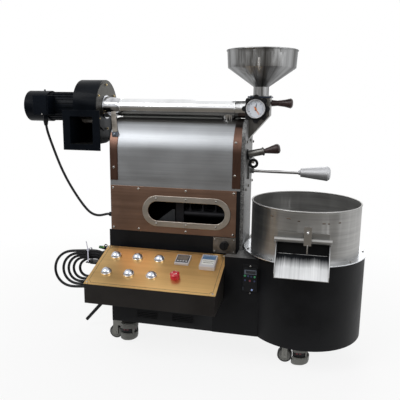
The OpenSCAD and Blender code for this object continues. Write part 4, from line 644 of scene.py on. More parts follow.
def cord_piece(name, points, diameter, replaced):
    """A cord as one open curve through points in millimetres; returns it with its length."""
    curve = bpy.data.curves.new(name, "CURVE")
    curve.dimensions = "3D"
    curve.bevel_depth = diameter / 2 * MM
    curve.bevel_resolution = 3
    curve.use_fill_caps = True
    line = [at(*spot) for spot in smooth_line(points)]
    spline = curve.splines.new("POLY")
    spline.points.add(len(line) - 1)
    for spot, point in zip(line, spline.points):
        point.co = (*spot, 1.0)
    spline.use_smooth = True
    length = sum((b - a).length for a, b in zip(line, line[1:]))
    return add_piece(name, curve, CORD_SHEATH, "black_rubber", replaced=replaced), length


cable, cable_length = cord_piece("motor_cable_sheath", CABLE_ROUTE, CABLE_DIAMETER, ["motor_cable"])
supply_sheath, supply_length = cord_piece("supply_cord_sheath", CORD_ROUTE + hank_line(), CORD_DIAMETER,
                                          ["supply_cord", "supply_coil"])


# Finishes of single faces and solids of a dressed node
LOW, HIGH = -math.inf, math.inf
ANY = (LOW, HIGH)


def paint(piece, material, accepts):
    """Gives a finish to the faces that accepts(middle, normal) takes, in millimetres."""
    mesh = piece.data
    mesh.materials.append(material)
    for face in mesh.polygons:
        if accepts(own(face.center), face.normal):
            face.material_index = len(mesh.materials) - 1


def patch(node, material, x=ANY, y=ANY, z=ANY, facing=UP, least=-2.0):
    """Paints a dressed node's faces whose middle is within ranges and that face a way well enough."""
    def accepts(middle, normal):
        inside = all(low < place < high for place, (low, high) in zip(middle, (x, y, z)))
        return inside and normal.dot(Vector(facing)) > least

    paint(DRESSED[node], material, accepts)


def cut_across(piece, height):
    """Divides a piece's faces along a level height in millimetres."""
    bm = bmesh.new()
    bm.from_mesh(piece.data)
    bmesh.ops.bisect_plane(bm, geom=[*bm.verts, *bm.edges, *bm.faces], plane_co=at(0, 0, height),
                           plane_no=UP)
    bm.to_mesh(piece.data)
    bm.free()


def solids_of(mesh):
    """The face numbers of each separate solid in a mesh, with its low and high corner in millimetres."""
    near = [[] for _ in mesh.vertices]
    for face in mesh.polygons:
        for vert in face.vertices:
            near[vert].append(face.index)
    left = set(range(len(mesh.polygons)))
    solids = []
    while left:
        waiting = [left.pop()]
        found = []
        while waiting:
            face = waiting.pop()
            found.append(face)
            joined = {other for vert in mesh.polygons[face].vertices for other in near[vert]} & left
            left -= joined
            waiting.extend(joined)
        corners = [own(mesh.vertices[vert].co) for face in found for vert in mesh.polygons[face].vertices]
        solids.append((found, Vector(map(min, zip(*corners))), Vector(map(max, zip(*corners)))))
    return solids


def paint_solids(piece, *choices):
    """Each choice is a finish and a test of a solid's low and high corner; the first that fits counts."""
    mesh = piece.data
    first = len(mesh.materials)
    for material, _ in choices:
        mesh.materials.append(material)
    for faces, low, high in solids_of(mesh):
        for i, (_, accepts) in enumerate(choices):
            if accepts(low, high):
                for face in faces:
                    mesh.polygons[face].material_index = first + i
                break


# Nodes whose own shape is right, with their edges rounded: finish, slot, bevel and body
FRAME_NODES = (
    ("base_cabinet", BLACK, "black_coat", 1.2), ("cooling_base", BLACK, "black_coat", 1.0),
    ("control_box", DESK_BLACK, "black_coat", 1.4), ("burner_chamber", BLACK, "black_coat", 0.8),
    ("window_panel", COPPER, "copper_sheet", 0.6), ("window_frame", FRAME_STEEL, "steel", 1.4),
    ("rear_plate", BLACK, "black_coat", 1.0), ("front_plate", CAST_GREY, "cast_grey", 1.5),
    ("jacket", STEEL, "steel", 0.6), ("end_straps", STRAP_COPPER, "copper_sheet", 0.6),
    ("drum_bearings", PLAIN_STEEL, "steel", 0.6), ("motors", DULL_STEEL, "dark_steel", 1.2),
    ("drive_chain", DULL_STEEL, "dark_steel", 0.6), ("chain_guard", BLACK, "black_coat", 1.0),
    ("burner", BURNER_STEEL, "dark_steel", 0.4), ("feed_chute", FEED_STEEL, "steel", 0.8),
    ("exhaust_pipe", PIPE_CHROME, "chrome", 0.4), ("fan_housing", MOTOR_BLACK, "black_coat", 1.0),
    ("fan_motor", MOTOR_BLACK, "black_coat", 1.0), ("cooling_tray", TRAY_STEEL, "steel", 0.5),
    ("cord_fittings", BLACK_PLASTIC, "black_plastic", 0.6), ("gauge", BLACK_PLASTIC, "black_plastic", 1.4),
    ("hopper", HOPPER_STEEL, "steel", 0.3), ("control_panel", GOLD, "gold_sheet", 0.5),
    ("instruments", BLACK_PLASTIC, "black_plastic", 0.8))
MOVING_NODES = (
    ("drum", DULL_STEEL, "dark_steel", 0.3, "drum_group"),
    ("drum_shaft", PLAIN_STEEL, "steel", 0.5, "drum_group"),
    ("motor_sprocket", PLAIN_STEEL, "steel", 0.5, "sprocket"),
    ("fan_impeller", PLAIN_STEEL, "steel", 0.2, "impeller"),
    ("stirrer", DULL_STEEL, "dark_steel", 0.4, "stirrer_group"),
    ("cooling_fan", DULL_STEEL, "dark_steel", 0.3, "fan"),
    ("feed_gate", WOOD, "wood", 0.6, "gate"), ("gauge_needle", ORANGE, "orange_paint", 0.1, "needle"),
    ("trier", WOOD, "wood", 0.6, "trier_rod"), ("trier_sleeve", FEED_STEEL, "steel", 0.5, "sleeve"),
    ("discharge_door", CAST_GREY, "cast_grey", 1.0, "door"), ("door_lever", SATIN, "steel", 0.8, "door"),
    ("door_latch", BLACK_PLASTIC, "black_plastic", 1.8, "pull_ring"),
    ("tray_gate", TRAY_STEEL, "steel", 0.4, "tray_shutter"),
    ("burner_knob", BLACK_PLASTIC, "black_plastic", 1.0, "gas_knob"),
    ("stop_button", RED_PLASTIC, "red_plastic", 0.8, "stop"))
DRESSED = {row[0]: dressed(*row) for row in FRAME_NODES + MOVING_NODES}
for number in range(1, 7):
    dressed(f"button_{number}", BUTTON_CHROME, "chrome", 0.8, f"key_{number}")
for number in range(1, 5):
    dressed(f"caster_{number}", ZINC, "cast_grey", 1.0, f"swivel_{number}")
    wheel = dressed(f"caster_wheel_{number}", TYRE, "cast_grey", 2.0, f"wheel_{number}")
    paint(wheel, CASTER_GREY, lambda middle, normal: abs(normal.y) > 0.7)

# Where a node's own shape has more than one finish
FACE_X = 470
COLUMN_TOP = 352
DECK_Z = 363
HOOD_Z = 438
PIPE_Z = 819.5
AXIS_Y = 110
BLADE_TOP = HOOD_Z - 4

patch("end_straps", CLAMP_GREY, x=(6.5, 27.5), y=(LOW, 17), z=(720.8, HIGH))
patch("end_straps", HANGER_STEEL, x=(LOW, 60), z=(737.5, HIGH))
patch("base_cabinet", CAST_GREY, x=(458, HIGH), z=(COLUMN_TOP - 1, HIGH), least=0.9)
patch("cooling_base", DECK_STEEL, z=(DECK_Z - 0.5, HIGH))
patch("burner_chamber", HANGER_STEEL, x=(369, 449), y=(LOW, -0.4), z=(336, 392))
patch("feed_chute", FLANGE_GREY, z=(855.5, HIGH))
patch("fan_housing", INLET_STEEL, x=(-60.2, HIGH), facing=(1, 0, 0), least=0.9)
# Painted shade inside the blower's outlet.
patch("fan_housing", SHADE_BLACK, x=(-147.6, -62.4), y=(-2, 190), z=(691, 788), facing=(0, 1, 0), least=-0.5)
patch("cooling_tray", TRAY_FLOOR, z=(390, 400), least=0.9)
patch("cooling_tray", CHUTE_STEEL, y=(LOW, -136), z=(LOW, HOOD_Z - 6), least=0.5)
# The gate's blade below its hood is painted near-black, a painted shade.
cut_across(DRESSED["tray_gate"], BLADE_TOP)
patch("tray_gate", LATCH_STEEL, y=(LOW, -150))
patch("tray_gate", SHADE_BLACK, y=(-158.5, HIGH), z=(LOW, BLADE_TOP))
patch("tray_gate", CHROME, y=(LOW, -160))
patch("feed_gate", PLAIN_STEEL, x=(LOW, FACE_X + 68))
patch("trier", PLAIN_STEEL, x=(LOW, 527))
patch("door_lever", DULL_STEEL, x=(630, 638))
patch("door_lever", CHROME, x=(LOW, 630.01))
patch("front_plate", CHROME, x=(FACE_X + 14, HIGH), y=(58, 72), z=(636, 652))
patch("front_plate", BLACK, x=(FACE_X + 0.5, HIGH), y=(25, 75), z=(655, 692))
patch("gauge", DIAL_WHITE, y=(58.5, 59.5), facing=FORWARD, least=0.9)
# Painted highlight: the gusset is lighter than the burner.
patch("burner", BURNER_GREY, x=(130, 226), y=(39, 44))
patch("burner", BLACK, z=(LOW, 330))
# Painted reflections on the reducer end of the exhaust pipe.
patch("exhaust_pipe", REDUCER_CHROME, x=(LOW, 2))
# Painted shade on the exhaust pipe's underside and neck beyond 300 mm.
patch("exhaust_pipe", SHADE_BLACK, x=(300, HIGH), z=(LOW, PIPE_Z - 30))
paint_solids(
    DRESSED["instruments"],
    (PALE_GREY, lambda low, high: 255 < low.x < 265 and high.x < 310 and high.x - low.x > 40),
    (PALE_GREY, lambda low, high: 342 < low.x < 352 and high.x < 402 and high.x - low.x > 40),
    (BLACK_PLASTIC, lambda low, high: low.x > 255),
    (CHROME, lambda low, high: True))
paint_solids(DRESSED["cord_fittings"], (BLACK, lambda low, high: high.x - low.x > 60))

# Screws: every plain head becomes a pan head with a cross recess, or a bolt's hexagon on its washer
SCREW_OUTWARD = Vector((0.55, -0.6, 0.58))
FEWEST_HEAD_SIDES = 8
HEAD_SUNK = 2.0
BOLTS_LEFT_OF = -40
LARGEST_SCREW = 4.5
# Share of the head's radius, and height
BOLT_HEAD = ((0, 0), (1.15, 0), (1.15, 1.0), (0.8, 1.1), (0.8, 3.6), (0.6, 4.2), (0, 4.2))
PAN_HEAD = ((0, 0), (1, 0), (1, 0.9), (0.82, 1.7), (0.5, 2.2), (0, 2.35))
RECESS_TURNS = (0.4, 0.4 + QUARTER_TURN)
RECESS_LONG, RECESS_WIDE, RECESS_HIGH = 0.62, 0.13, 0.62
RECESS_SUNK = 0.2


def screw_ends():
    """Middle, direction and radius of the outer end of every screw in the CAD."""
    source = node_mesh("screws")
    found = []
    for face in source.faces:
        if len(face.verts) > FEWEST_HEAD_SIDES and face.normal.dot(SCREW_OUTWARD) > 0.3:
            middle = face.calc_center_median()
            radius = max((vert.co - middle).length for vert in face.verts) / MM
            found.append((tuple(middle), own(middle), face.normal.copy(), radius))
    source.free()
    return [end[1:] for end in sorted(found, key=lambda end: end[0])]


def add_heads(name, ends, head, sides, material, bevel):
    bm = bmesh.new()
    for middle, normal, radius in ends:
        profile = [(share * radius, height) for share, height in head]
        lathe(bm, profile, middle - normal * HEAD_SUNK, normal, sides)
    return add_piece(name, bm, material, "chrome", bevel=bevel, replaced=["screws"])


def add_recesses(ends):
    bm = bmesh.new()
    for middle, normal, radius in ends:
        place = Matrix.Translation(at(*(middle - normal * RECESS_SUNK))) @ turned_to(normal)
        long, wide = radius * RECESS_LONG, radius * RECESS_WIDE
        for turn in RECESS_TURNS:
            block(bm, (-long, -wide, 0), (long, wide, RECESS_HIGH), place @ Matrix.Rotation(turn, 4, "Z"))
    add_piece("screw_recesses", bm, INK, "dark_steel")


def add_screws():
    bolts, screws = [], []
    for middle, normal, radius in screw_ends():
        kind = bolts if middle.x < BOLTS_LEFT_OF or radius > LARGEST_SCREW else screws
        kind.append((middle, normal, radius))
    heads = add_heads("bolts", bolts, BOLT_HEAD, 6, BRASS, 0.15)
    paint_solids(heads, (DULL_STEEL, lambda low, high: low.x > 400),
                 (CLAMP_GREY, lambda low, high: -20 < low.x < 100))
    add_heads("sheet_screws", screws, PAN_HEAD, 20, PLAIN_STEEL, 0)
    add_recesses(screws)


add_screws()

# Control desk: x runs along it and s down its slope from the top edge
DESK_TILT = 18.334
DESK_EDGE = (0, -24, 337.6)
DESK_PLACE = Matrix.Translation(at(*DESK_EDGE)) @ Matrix.Rotation(math.radians(DESK_TILT), 4, "X")
PANEL_TOP = 2.0
BORDER_X = (7, 415)
BORDER_S = (8, 206)
BORDER_NOTCH = 9
BORDER_WIDE = 1.0
BORDER_HIGH = 0.5
BORDER_SUNK = 0.3
NOTCH_STEPS = 6
STOP_AT = (281, 144)
STOP_TOP = 24.0
STOP_DOME = 23.25
STOP_ARROWS = (20, 140, 260)
STOP_SKIRT = ((0, 1.9), (15.2, 1.9), (15.6, 3.2), (15.2, 9.5), (13.2, 12.4), (12.6, 14), (0, 14))


def border_outline(inset):
    """Outline inset within the panel's border, with a hollow notch about each corner."""
    left, right = BORDER_X
    top, bottom = -BORDER_S[0], -BORDER_S[1]
    radius = BORDER_NOTCH + inset
    trim = math.asin(inset / radius)
    outline = []
    for x, y, start in ((right, top, 270), (left, top, 360), (left, bottom, 90), (right, bottom, 180)):
        for i in range(NOTCH_STEPS + 1):
            angle = math.radians(start) - trim - (QUARTER_TURN - 2 * trim) * i / NOTCH_STEPS
            outline.append((x + radius * math.cos(angle), y + radius * math.sin(angle)))
    return outline


def add_border():
    """Thin dark line round the gold panel."""
    bm = bmesh.new()
    place = DESK_PLACE @ Matrix.Translation((0, 0, (PANEL_TOP - BORDER_SUNK) * MM))
    hollow_slab(bm, border_outline(0), border_outline(BORDER_WIDE), BORDER_HIGH, place)
    add_piece("panel_border", bm, INK, "black_coat")


def add_instruments():
    """What stands on the panel's two instruments, as boxes (x0, x1, s0, s1, low, high)."""
    keys = [(266 + 9.6 * i, 273 + 9.6 * i, 62, 68, 10.2, 11.2) for i in range(4)]
    marks = [(357 + 4.3 * i, 359.4 + 4.3 * i, s, s + 4, 17.5, 17.8) for s in (62, 71) for i in range(8)]
    for name, boxes, material, bevel in (
            ("controller_face", [(263, 305, 32, 72, 9.6, 10.3)], DARK_GLASS, 0.4),
            ("controller_display", [(266, 302, 36, 58, 10.2, 10.8)], HANGER_STEEL, 0.4),
            ("controller_keys", keys, PALE_GREY, 0.8),
            ("timer_lid", [(350.5, 394.5, 32, 55, 16.6, 18.4)], BLUE_WINDOW, 1.2),
            ("timer_card", [(353, 392, 56, 82, 16.6, 17.6)], WHITE_PLASTIC, 1.0),
            ("timer_marks", marks, INK, 0),
            ("timer_sill", [(347.5, 397.5, 86, 93.5, 14.6, 16.6)], PALE_GREY, 0.8)):
        corners = [((x0, -s1, low), (x1, -s0, high)) for x0, x1, s0, s1, low, high in boxes]
        block_piece(name, corners, material, "black_plastic", DESK_PLACE, bevel=bevel)


def dome_strip(bm, inner, outer, start, sweep, steps):
    """A strip between two radii, lying on the stop button's dome and swept about its middle."""
    low, high = (STOP_TOP - STOP_DOME + math.sqrt(STOP_DOME ** 2 - r * r) for r in (inner, outer))
    profile = [(inner, low - 0.3), (outer, high - 0.3), (outer, high + 0.25), (inner, low + 0.25)]
    swept(bm, profile, start, sweep, steps)


def add_stop():
    """Three turning arrows on the stop button's dome, and the skirt round its foot."""
    place = DESK_PLACE @ Matrix.Translation((STOP_AT[0] * MM, -STOP_AT[1] * MM, 0))
    bm = bmesh.new()
    for start in STOP_ARROWS:
        dome_strip(bm, 7.6, 8.8, start, 60, 8)
        dome_strip(bm, 6.4, 10.0, start + 60, 8, 2)
        dome_strip(bm, 7.4, 9.0, start + 68, 8, 2)
    bmesh.ops.recalc_face_normals(bm, faces=bm.faces)
    bmesh.ops.transform(bm, matrix=place, verts=bm.verts)
    add_piece("stop_marks", bm, WHITE_PLASTIC, "red_plastic", "stop")
    bm = bmesh.new()
    lathe(bm, STOP_SKIRT, (0, 0, 0), steps=48)
    bmesh.ops.transform(bm, matrix=place @ Matrix.Translation(-at(0, 0, 0)), verts=bm.verts)
    add_piece("stop_skirt", bm, RED_PLASTIC, "red_plastic", "stop", bevel=0.4)


KEYPAD_FACE = -93.0
KEYPAD_RIBS = [((488.6, -93.4, 247.5 + 1.6 * i), (490.2, -92.8, 248.3 + 1.6 * i)) for i in range(7)]


def key_pads(name, places, radius, material):
    """Small domed keys on the thermostat's face, each at (x, z)."""
    bm = bmesh.new()
    profile = [(0, -0.6), (radius, -0.6), (radius, 0.4), (radius * 0.8, 0.9), (0, 1.1)]
    for x, z in places:
        lathe(bm, profile, (x, KEYPAD_FACE, z), FORWARD, 16)
    add_piece(name, bm, material, "black_plastic")


def add_keypad():
    for name, boxes, material, bevel in (
            ("keypad_frame", [((492, -93.9, 302), (531, -92.5, 317))], POINTER_GREY, 0.8),
            ("keypad_display", [((497, -94.4, 304.5), (528.5, -93.2, 314.5))], DARK_GLASS, 0.5),
            ("keypad_ribs", KEYPAD_RIBS, POINTER_GREY, 0)):
        block_piece(name, boxes, material, "black_plastic", bevel=bevel)
    key_pads("keypad_green_keys", [(494.5, 296.5), (526, 294.5)], 3.6, GREEN_KEY)
    key_pads("keypad_blue_keys", [(504.8, 296), (515, 295.3), (495, 281.5), (525.5, 280)], 3.2, BLUE_KEY)
    key_pads("keypad_red_key", [(510.5, 280.5)], 3.6, DARK_RED)
    key_pads("keypad_lamp", [(518, 250.5)], 3.2, PALE_BLUE)


add_border()
add_instruments()
add_stop()
add_keypad()

# Gauge
GAUGE_AT = (493, 59, 821)
GAUGE_PLACE = Matrix.Translation(at(*GAUGE_AT)) @ Matrix.Rotation(QUARTER_TURN, 4, "X")
BEZEL = ((30.2, -1), (31.6, 4), (31.2, 6.6), (29.8, 7.6), (28.2, 7.0), (27.2, 4.6), (27.0, 0.6), (30.2, -1))
TICKS = 24
LONG_TICK_EACH = 4
TICK_OUTER = 24.8
TICK_HIGH = 0.25
FIRST_TICK_ANGLE = 225
TICKS_SWEEP = 270
POINTER = ((-2.2, -6.5), (2.2, -6.5), (1.5, 12), (0.5, 19), (-0.5, 19), (-1.5, 12))
POINTER_THICK = 0.4
POINTER_LIFT = 0.3
POINTER_ANGLE = -8
STOP_PIN = ((0, 0), (1.7, 0), (1.7, 0.9), (1.0, 1.4), (0, 1.5))
STOP_PIN_SHIFT = (-21.5, 0, -8.5)


def add_ticks():
    bm = bmesh.new()
    for i in range(TICKS + 1):
        angle = math.radians(FIRST_TICK_ANGLE - TICKS_SWEEP * i / TICKS)
        inner, half = (22.4, 0.3) if i % LONG_TICK_EACH else (19.5, 0.55)
        turn = GAUGE_PLACE @ Matrix.Rotation(angle, 4, "Z")
        block(bm, (inner, -half, 0), (TICK_OUTER, half, TICK_HIGH), turn)
    add_piece("gauge_ticks", bm, POINTER_GREY, "black_plastic")


def add_gauge():
    turned_piece("gauge_bezel", BEZEL, GAUGE_AT, FORWARD, 72, SATIN, "chrome", smooth=50)
    add_ticks()
    bm = bmesh.new()
    turn = GAUGE_PLACE @ Matrix.Rotation(math.radians(POINTER_ANGLE), 4, "Z")
    slab(bm, POINTER, POINTER_THICK, turn @ Matrix.Translation((0, 0, POINTER_LIFT * MM)))
    add_piece("gauge_set_pointer", bm, POINTER_GREY, "black_plastic")
    pin_at = [place + shift for place, shift in zip(GAUGE_AT, STOP_PIN_SHIFT)]
    turned_piece("gauge_stop_pin", STOP_PIN, pin_at, FORWARD, 16, INK, "black_plastic")


add_gauge()

# Hopper: the overlap of its rolled sheet, with weld beads up it
SEAM_PROFILE = ((26.0, 893.5), (27.0, 892.9), (113.9, 953.6), (117.2, 1004), (116.0, 1004), (112.6, 954.4))
SEAM_ANGLE = -96
SEAM_SWEEP = 3.6
BEADS = 12
BEAD_R = 2.6
BEAD_PITCH = 3.0
BEADS_FROM = 944
BEAD_ANGLE = -89
CONE_TOP = 954

# Cooling tray: its seam, the heat marks of its welds and its gate's pin
TRAY_AT = (672, 41)
TRAY_R = 177
TRAY_SEAM = ((176.6, 367), (177.9, 367), (177.9, 519), (176.6, 519))
# Angle from the front, height, and width in degrees of each weld's mark
TRAY_WELDS = (
    (-33.5, 502, 3.4), (-15.0, 502, 4.0), (-5.0, 497, 2.4), (19.0, 492, 3.0), (24.0, 491, 2.2),
    (36.0, 492, 2.6))
GATE_PIN = ((0, 0), (3.6, 0), (3.6, 1.4), (2.6, 2.8), (0, 3.4))
GATE_PIN_AT = (685, -165, 470)


def round_strip(bm, centre, profile, middle, width):
    """A closed outline of (radius, height) swept a little way about an upright axis."""
    known = set(bm.verts)
    swept(bm, profile, middle - width / 2, width, 3)
    bmesh.ops.transform(bm, matrix=Matrix.Translation(at(*centre, 0)), verts=added_since(bm, known))
    bmesh.ops.recalc_face_normals(bm, faces=bm.faces)


def add_hopper_details():
    bm = bmesh.new()
    round_strip(bm, HOPPER_AT, SEAM_PROFILE, SEAM_ANGLE, SEAM_SWEEP)
    add_piece("hopper_seam", bm, HOPPER_STEEL, "steel", bevel=0.3)
    bm = bmesh.new()
    for i in range(BEADS):
        bead = bmesh.ops.create_uvsphere(bm, u_segments=10, v_segments=6, radius=BEAD_R * MM)["verts"]
        angle = math.radians(BEAD_ANGLE + 0.6 * (i % 2))
        high = BEADS_FROM + BEAD_PITCH * i
        far = 99 + (high - BEADS_FROM) * 1.42 if high < CONE_TOP else 113.4 + (high - CONE_TOP) * 0.06
        bmesh.ops.scale(bm, verts=bead, vec=(1.5, 0.7, 1.0))
        place = at(HOPPER_AT[0] + far * math.cos(angle), HOPPER_AT[1] + far * math.sin(angle), high)
        bmesh.ops.translate(bm, verts=bead, vec=place)
    add_piece("hopper_weld", bm, PLAIN_STEEL, "steel", smooth=80)


def add_tray_details():
    turned_piece("tray_gate_pin", GATE_PIN, GATE_PIN_AT, FORWARD, 24, CHROME, "chrome",
                 body="tray_shutter", smooth=60)
    bm = bmesh.new()
    for angle, high, width in TRAY_WELDS:
        profile = [(TRAY_R - 0.5, high - 2), (TRAY_R + 0.5, high - 1.6), (TRAY_R + 0.8, high),
                   (TRAY_R + 0.5, high + 1.6), (TRAY_R - 0.5, high + 2)]
        round_strip(bm, TRAY_AT, profile, angle - 90, width)
    add_piece("tray_welds", bm, HEAT_MARK, "steel", smooth=60)
    bm = bmesh.new()
    round_strip(bm, TRAY_AT, TRAY_SEAM, 62, 1.4)
    add_piece("tray_seam", bm, TRAY_STEEL, "steel", bevel=0.3)


add_hopper_details()
add_tray_details()

# Levelling casters: the cast foot round the stem, its red-marked thumb wheel and the tyre
CASTER_AT = ((66, -38), (668, -62), (66, 190), (668, 145))
WHEEL_SHIFT = -38
WHEEL_Z = 26
FOOT_SHIFT = 7
FOOT_CUT = -13
FOOT_DISH = ((17.5, 5), (27, 6), (32, 10), (34, 17), (34.5, 33), (31.5, 34.5), (31, 22), (27, 13),
             (17.5, 10), (17.5, 5))
FOOT_COLLAR = ((12, 56), (31, 52), (34.5, 52), (35, 60), (31, 68), (22, 71), (12, 71), (12, 56))
FOOT_RIBS = (-38, 38, 142, -142)
RIB_AT = 31.5
RIB_LOW, RIB_HIGH = (-3, -3, 24), (3, 3, 58)
THUMBWHEEL = ((9, 32), (27.5, 32), (29, 34), (29, 49), (27.5, 51), (9, 51), (9, 32))
TYRE_PROFILE = ((18.5, -10.3), (23.2, -10.3), (24.0, -8.5), (24.0, 8.5), (23.2, 10.3), (18.5, 10.3),
                (18.5, -10.3))
MARK_TURNS = (-100, -78, -40, -20, 60, 100)
MARK_BOX = ((27, -3.2, 44), (29.6, 3.2, 48.5))


def cut_behind(bm, x, y):
    """Cuts away what stands left of x, where the wheel is, and closes the cut."""
    bmesh.ops.bisect_plane(bm, geom=[*bm.verts, *bm.edges, *bm.faces], plane_co=at(x, y, 0),
                           plane_no=(-1, 0, 0), clear_outer=True)
    bmesh.ops.holes_fill(bm, edges=[edge for edge in bm.edges if edge.is_boundary])
    bmesh.ops.recalc_face_normals(bm, faces=bm.faces)


def add_caster(number, x, y):
    stem = (x + FOOT_SHIFT, y, 0)
    swivel = f"swivel_{number}"
    bm = bmesh.new()
    lathe(bm, FOOT_DISH, stem, steps=40)
    lathe(bm, FOOT_COLLAR, stem, steps=40)
    for turn in FOOT_RIBS:
        angle = math.radians(turn)
        rib = Vector((stem[0] + RIB_AT * math.cos(angle), y + RIB_AT * math.sin(angle), 0))
        block(bm, rib + Vector(RIB_LOW), rib + Vector(RIB_HIGH))
    cut_behind(bm, x + FOOT_CUT, y)
    add_piece(f"caster_foot_{number}", bm, CASTER_GREY, "cast_grey", swivel, bevel=0.8)
    bm = bmesh.new()
    lathe(bm, THUMBWHEEL, stem, steps=36)
    cut_behind(bm, x + FOOT_CUT + 1, y)
    add_piece(f"caster_thumbwheel_{number}", bm, BLACK_PLASTIC, "black_plastic", swivel, bevel=0.6)
    turned_piece(f"caster_tyre_{number}", TYRE_PROFILE, (x + WHEEL_SHIFT, y, WHEEL_Z), (0, 1, 0), 48,
                 TYRE, "black_rubber", body=f"wheel_{number}", bevel=0.5)
    bm = bmesh.new()
    for turn in MARK_TURNS:
        block(bm, *MARK_BOX, Matrix.Translation(at(*stem)) @ Matrix.Rotation(math.radians(turn), 4, "Z"))
    add_piece(f"caster_marks_{number}", bm, DARK_RED, "red_plastic", swivel, bevel=0.4)


for number, (x, y) in enumerate(CASTER_AT, 1):
    add_caster(number, x, y)

# Motor's terminal box and gland, the vents' lips, the jacket's ridge seam and the pipe's closed end
TERMINAL_LID = ((-297, 15.5, 790), (-243, 18.4, 858))
TERMINAL_SIDE = ((-241.4, 19, 789.5), (-239.4, 67, 858.8))
TERMINAL_SCREW = ((0, 0), (2.6, 0), (2.6, 1.2), (1.8, 1.9), (0, 2.1))
TERMINAL_SCREW_AT = (-262, 15.5, 792.2)
GLAND = ((5.2, 0), (9.5, 0), (9.5, 5), (8.0, 12), (6.2, 22), (5.0, 24), (5.2, 0))
GLAND_AT = (-262, 40, 775)
VENTS_AT = (122, 248)
VENT_ROWS = 4
VENT_PITCH = 6
LIP_LOW, LIP_HIGH = (-1, -83.3, 110.2), (74, -81.9, 114.1)
RIDGE_SEAM = ((9, 104, 783.5), (438, 116, 789.5))
PIPE_END = ((29, 441), (31.4, 441), (31.4, 467), (30.2, 468), (0, 468), (0, 466), (29, 466), (29, 441))


def add_body_details():
    block_piece("terminal_lid", [TERMINAL_LID], MOTOR_BLACK, "black_coat", bevel=1.2)
    block_piece("terminal_side", [TERMINAL_SIDE], MOTOR_BLACK, "black_coat", bevel=0.8)
    turned_piece("terminal_screw", TERMINAL_SCREW, TERMINAL_SCREW_AT, FORWARD, 14, PLAIN_STEEL, "chrome")
    turned_piece("cable_gland", GLAND, GLAND_AT, (0, 0, -1), 24, BLACK_PLASTIC, "black_plastic", smooth=50)
    shifts = [Vector((left, 0, VENT_PITCH * row)) for left in VENTS_AT for row in range(VENT_ROWS)]
    lips = [(Vector(LIP_LOW) + shift, Vector(LIP_HIGH) + shift) for shift in shifts]
    block_piece("vent_lips", lips, BLACK, "black_coat", bevel=0.5)
    block_piece("jacket_seam", [RIDGE_SEAM], SEAM_STEEL, "steel", bevel=1.5)
    turned_piece("pipe_end", PIPE_END, (0, AXIS_Y, PIPE_Z), (1, 0, 0), 64, PIPE_CHROME, "chrome", bevel=0.3)


add_body_details()

# What lies on the supply cord: its cores, ring terminal and tie
CORE_Z = 314.8
CORE_SPLIT = (26, 33)
RING = ((3.6, -1.0), (6.4, -1.0), (6.8, 0), (6.4, 1.0), (3.6, 1.0), (3.2, 0), (3.6, -1.0))
RING_AT = (-34.5, 24, CORE_Z + 6.5)
CRIMP = ((0, 0), (2.6, 0), (2.9, 1.5), (2.9, 6.5), (2.2, 7.5), (0, 7.5))
CRIMP_AT = (-41, 24, CORE_Z)
TIE_X = -104
TIE_AT = (TIE_X, 30, 277.5)
TIE_WIDE = 4.6
TIE_LOCK = ((TIE_X - 1.2, 11.2, 300.0), (TIE_X + 6.0, 15.5, 308.0))
TIE_TAIL = ((0, 0), (1.7, 0), (1.6, 30), (0, 31))
TIE_TAIL_AT = (TIE_X + 2.3, 13.4, 306)


def add_cord_ends():
    cores = dressed("supply_cores", GREEN_WIRE, "black_rubber", 0.2)
    paint_solids(cores, (YELLOW_WIRE, lambda low, high: CORE_SPLIT[0] < low.y < CORE_SPLIT[1]),
                 (BLUE_WIRE, lambda low, high: low.y >= CORE_SPLIT[1]))
    bm = bmesh.new()
    lathe(bm, RING, RING_AT, (0, 1, 0), 28)
    lathe(bm, CRIMP, CRIMP_AT, (1, 0, 0.5), 16)
    ring = add_piece("ring_terminal", bm, BLACK_PLASTIC, "black_plastic", smooth=60)
    bm = bmesh.new()
    place = Matrix.Translation(at(*TIE_AT)) @ Matrix.Rotation(QUARTER_TURN, 4, "Y")
    place = place @ Matrix.Rotation(QUARTER_TURN, 4, "Z")
    hollow_slab(bm, round_box(34.5, 56, 9), round_box(32.3, 53.8, 7.9), TIE_WIDE, place)
    block(bm, *TIE_LOCK)
    lathe(bm, TIE_TAIL, TIE_TAIL_AT, (-0.25, 0.1, 1), 8)
    tie = add_piece("cord_tie", bm, NYLON, "black_plastic", bevel=0.2)
    return [cores, ring, tie]


add_cord_ends()


# Floor, sky, flags and lamps, in metres
FLOOR_REACH = 15.0
FLOOR_COLOUR = (0.80, 0.80, 0.80, 1.0)
FLOOR_WHITE_SHARE = 0.86
FLOOR_CLEAR_AT = 0.6
FLOOR_WHITE_AT = 1.6
WHITE = (1, 1, 1, 1)
WORLD_STRENGTH = 0.5
HORIZON_GREY = (0.42, 0.43, 0.44)
FLAG_TOP = 1.5
FLAG_FAR = -4.0
FLAG_NEAR = -0.42
FLAG_SIDE = 5.0
FLAG_LIFT = 0.004
FLAG_BLACK = (0.006, 0.008, 0.010)
FLAG_LOW = (0.165, 0.150, 0.130)
FLAG_HIGH = (0.30, 0.29, 0.28)
# A black sheet beside the tray, where the gap to the front plate lies in shade: painted shade in the tray's
# reflection.
TRAY_FLAG_X = 0.2155
TRAY_FLAG_Y = (-0.119, -0.004)
TRAY_FLAG_Z = (0.36, 0.545)
# Name, place, target, width and power
LAMPS = (
    ("key_lamp", (-1.4, -1.9, 2.6), (0, 0, 0.45), 1.6, 42.0),
    ("fill_lamp", (2.4, -1.3, 1.7), (0.1, 0, 0.4), 1.6, 16.0),
    ("back_lamp", (0.3, 2.4, 2.2), (0, 0, 0.5), 1.8, 22.0))


def seen_share(tree):
    """1 for the rays that see the white background: the camera's, and those in metal and glass."""
    rays = tree.add("LightPath").outputs
    seen = tree.maths("MAXIMUM", rays["Is Camera Ray"], rays["Is Glossy Ray"])
    return tree.maths("MAXIMUM", seen, rays["Is Transmission Ray"])


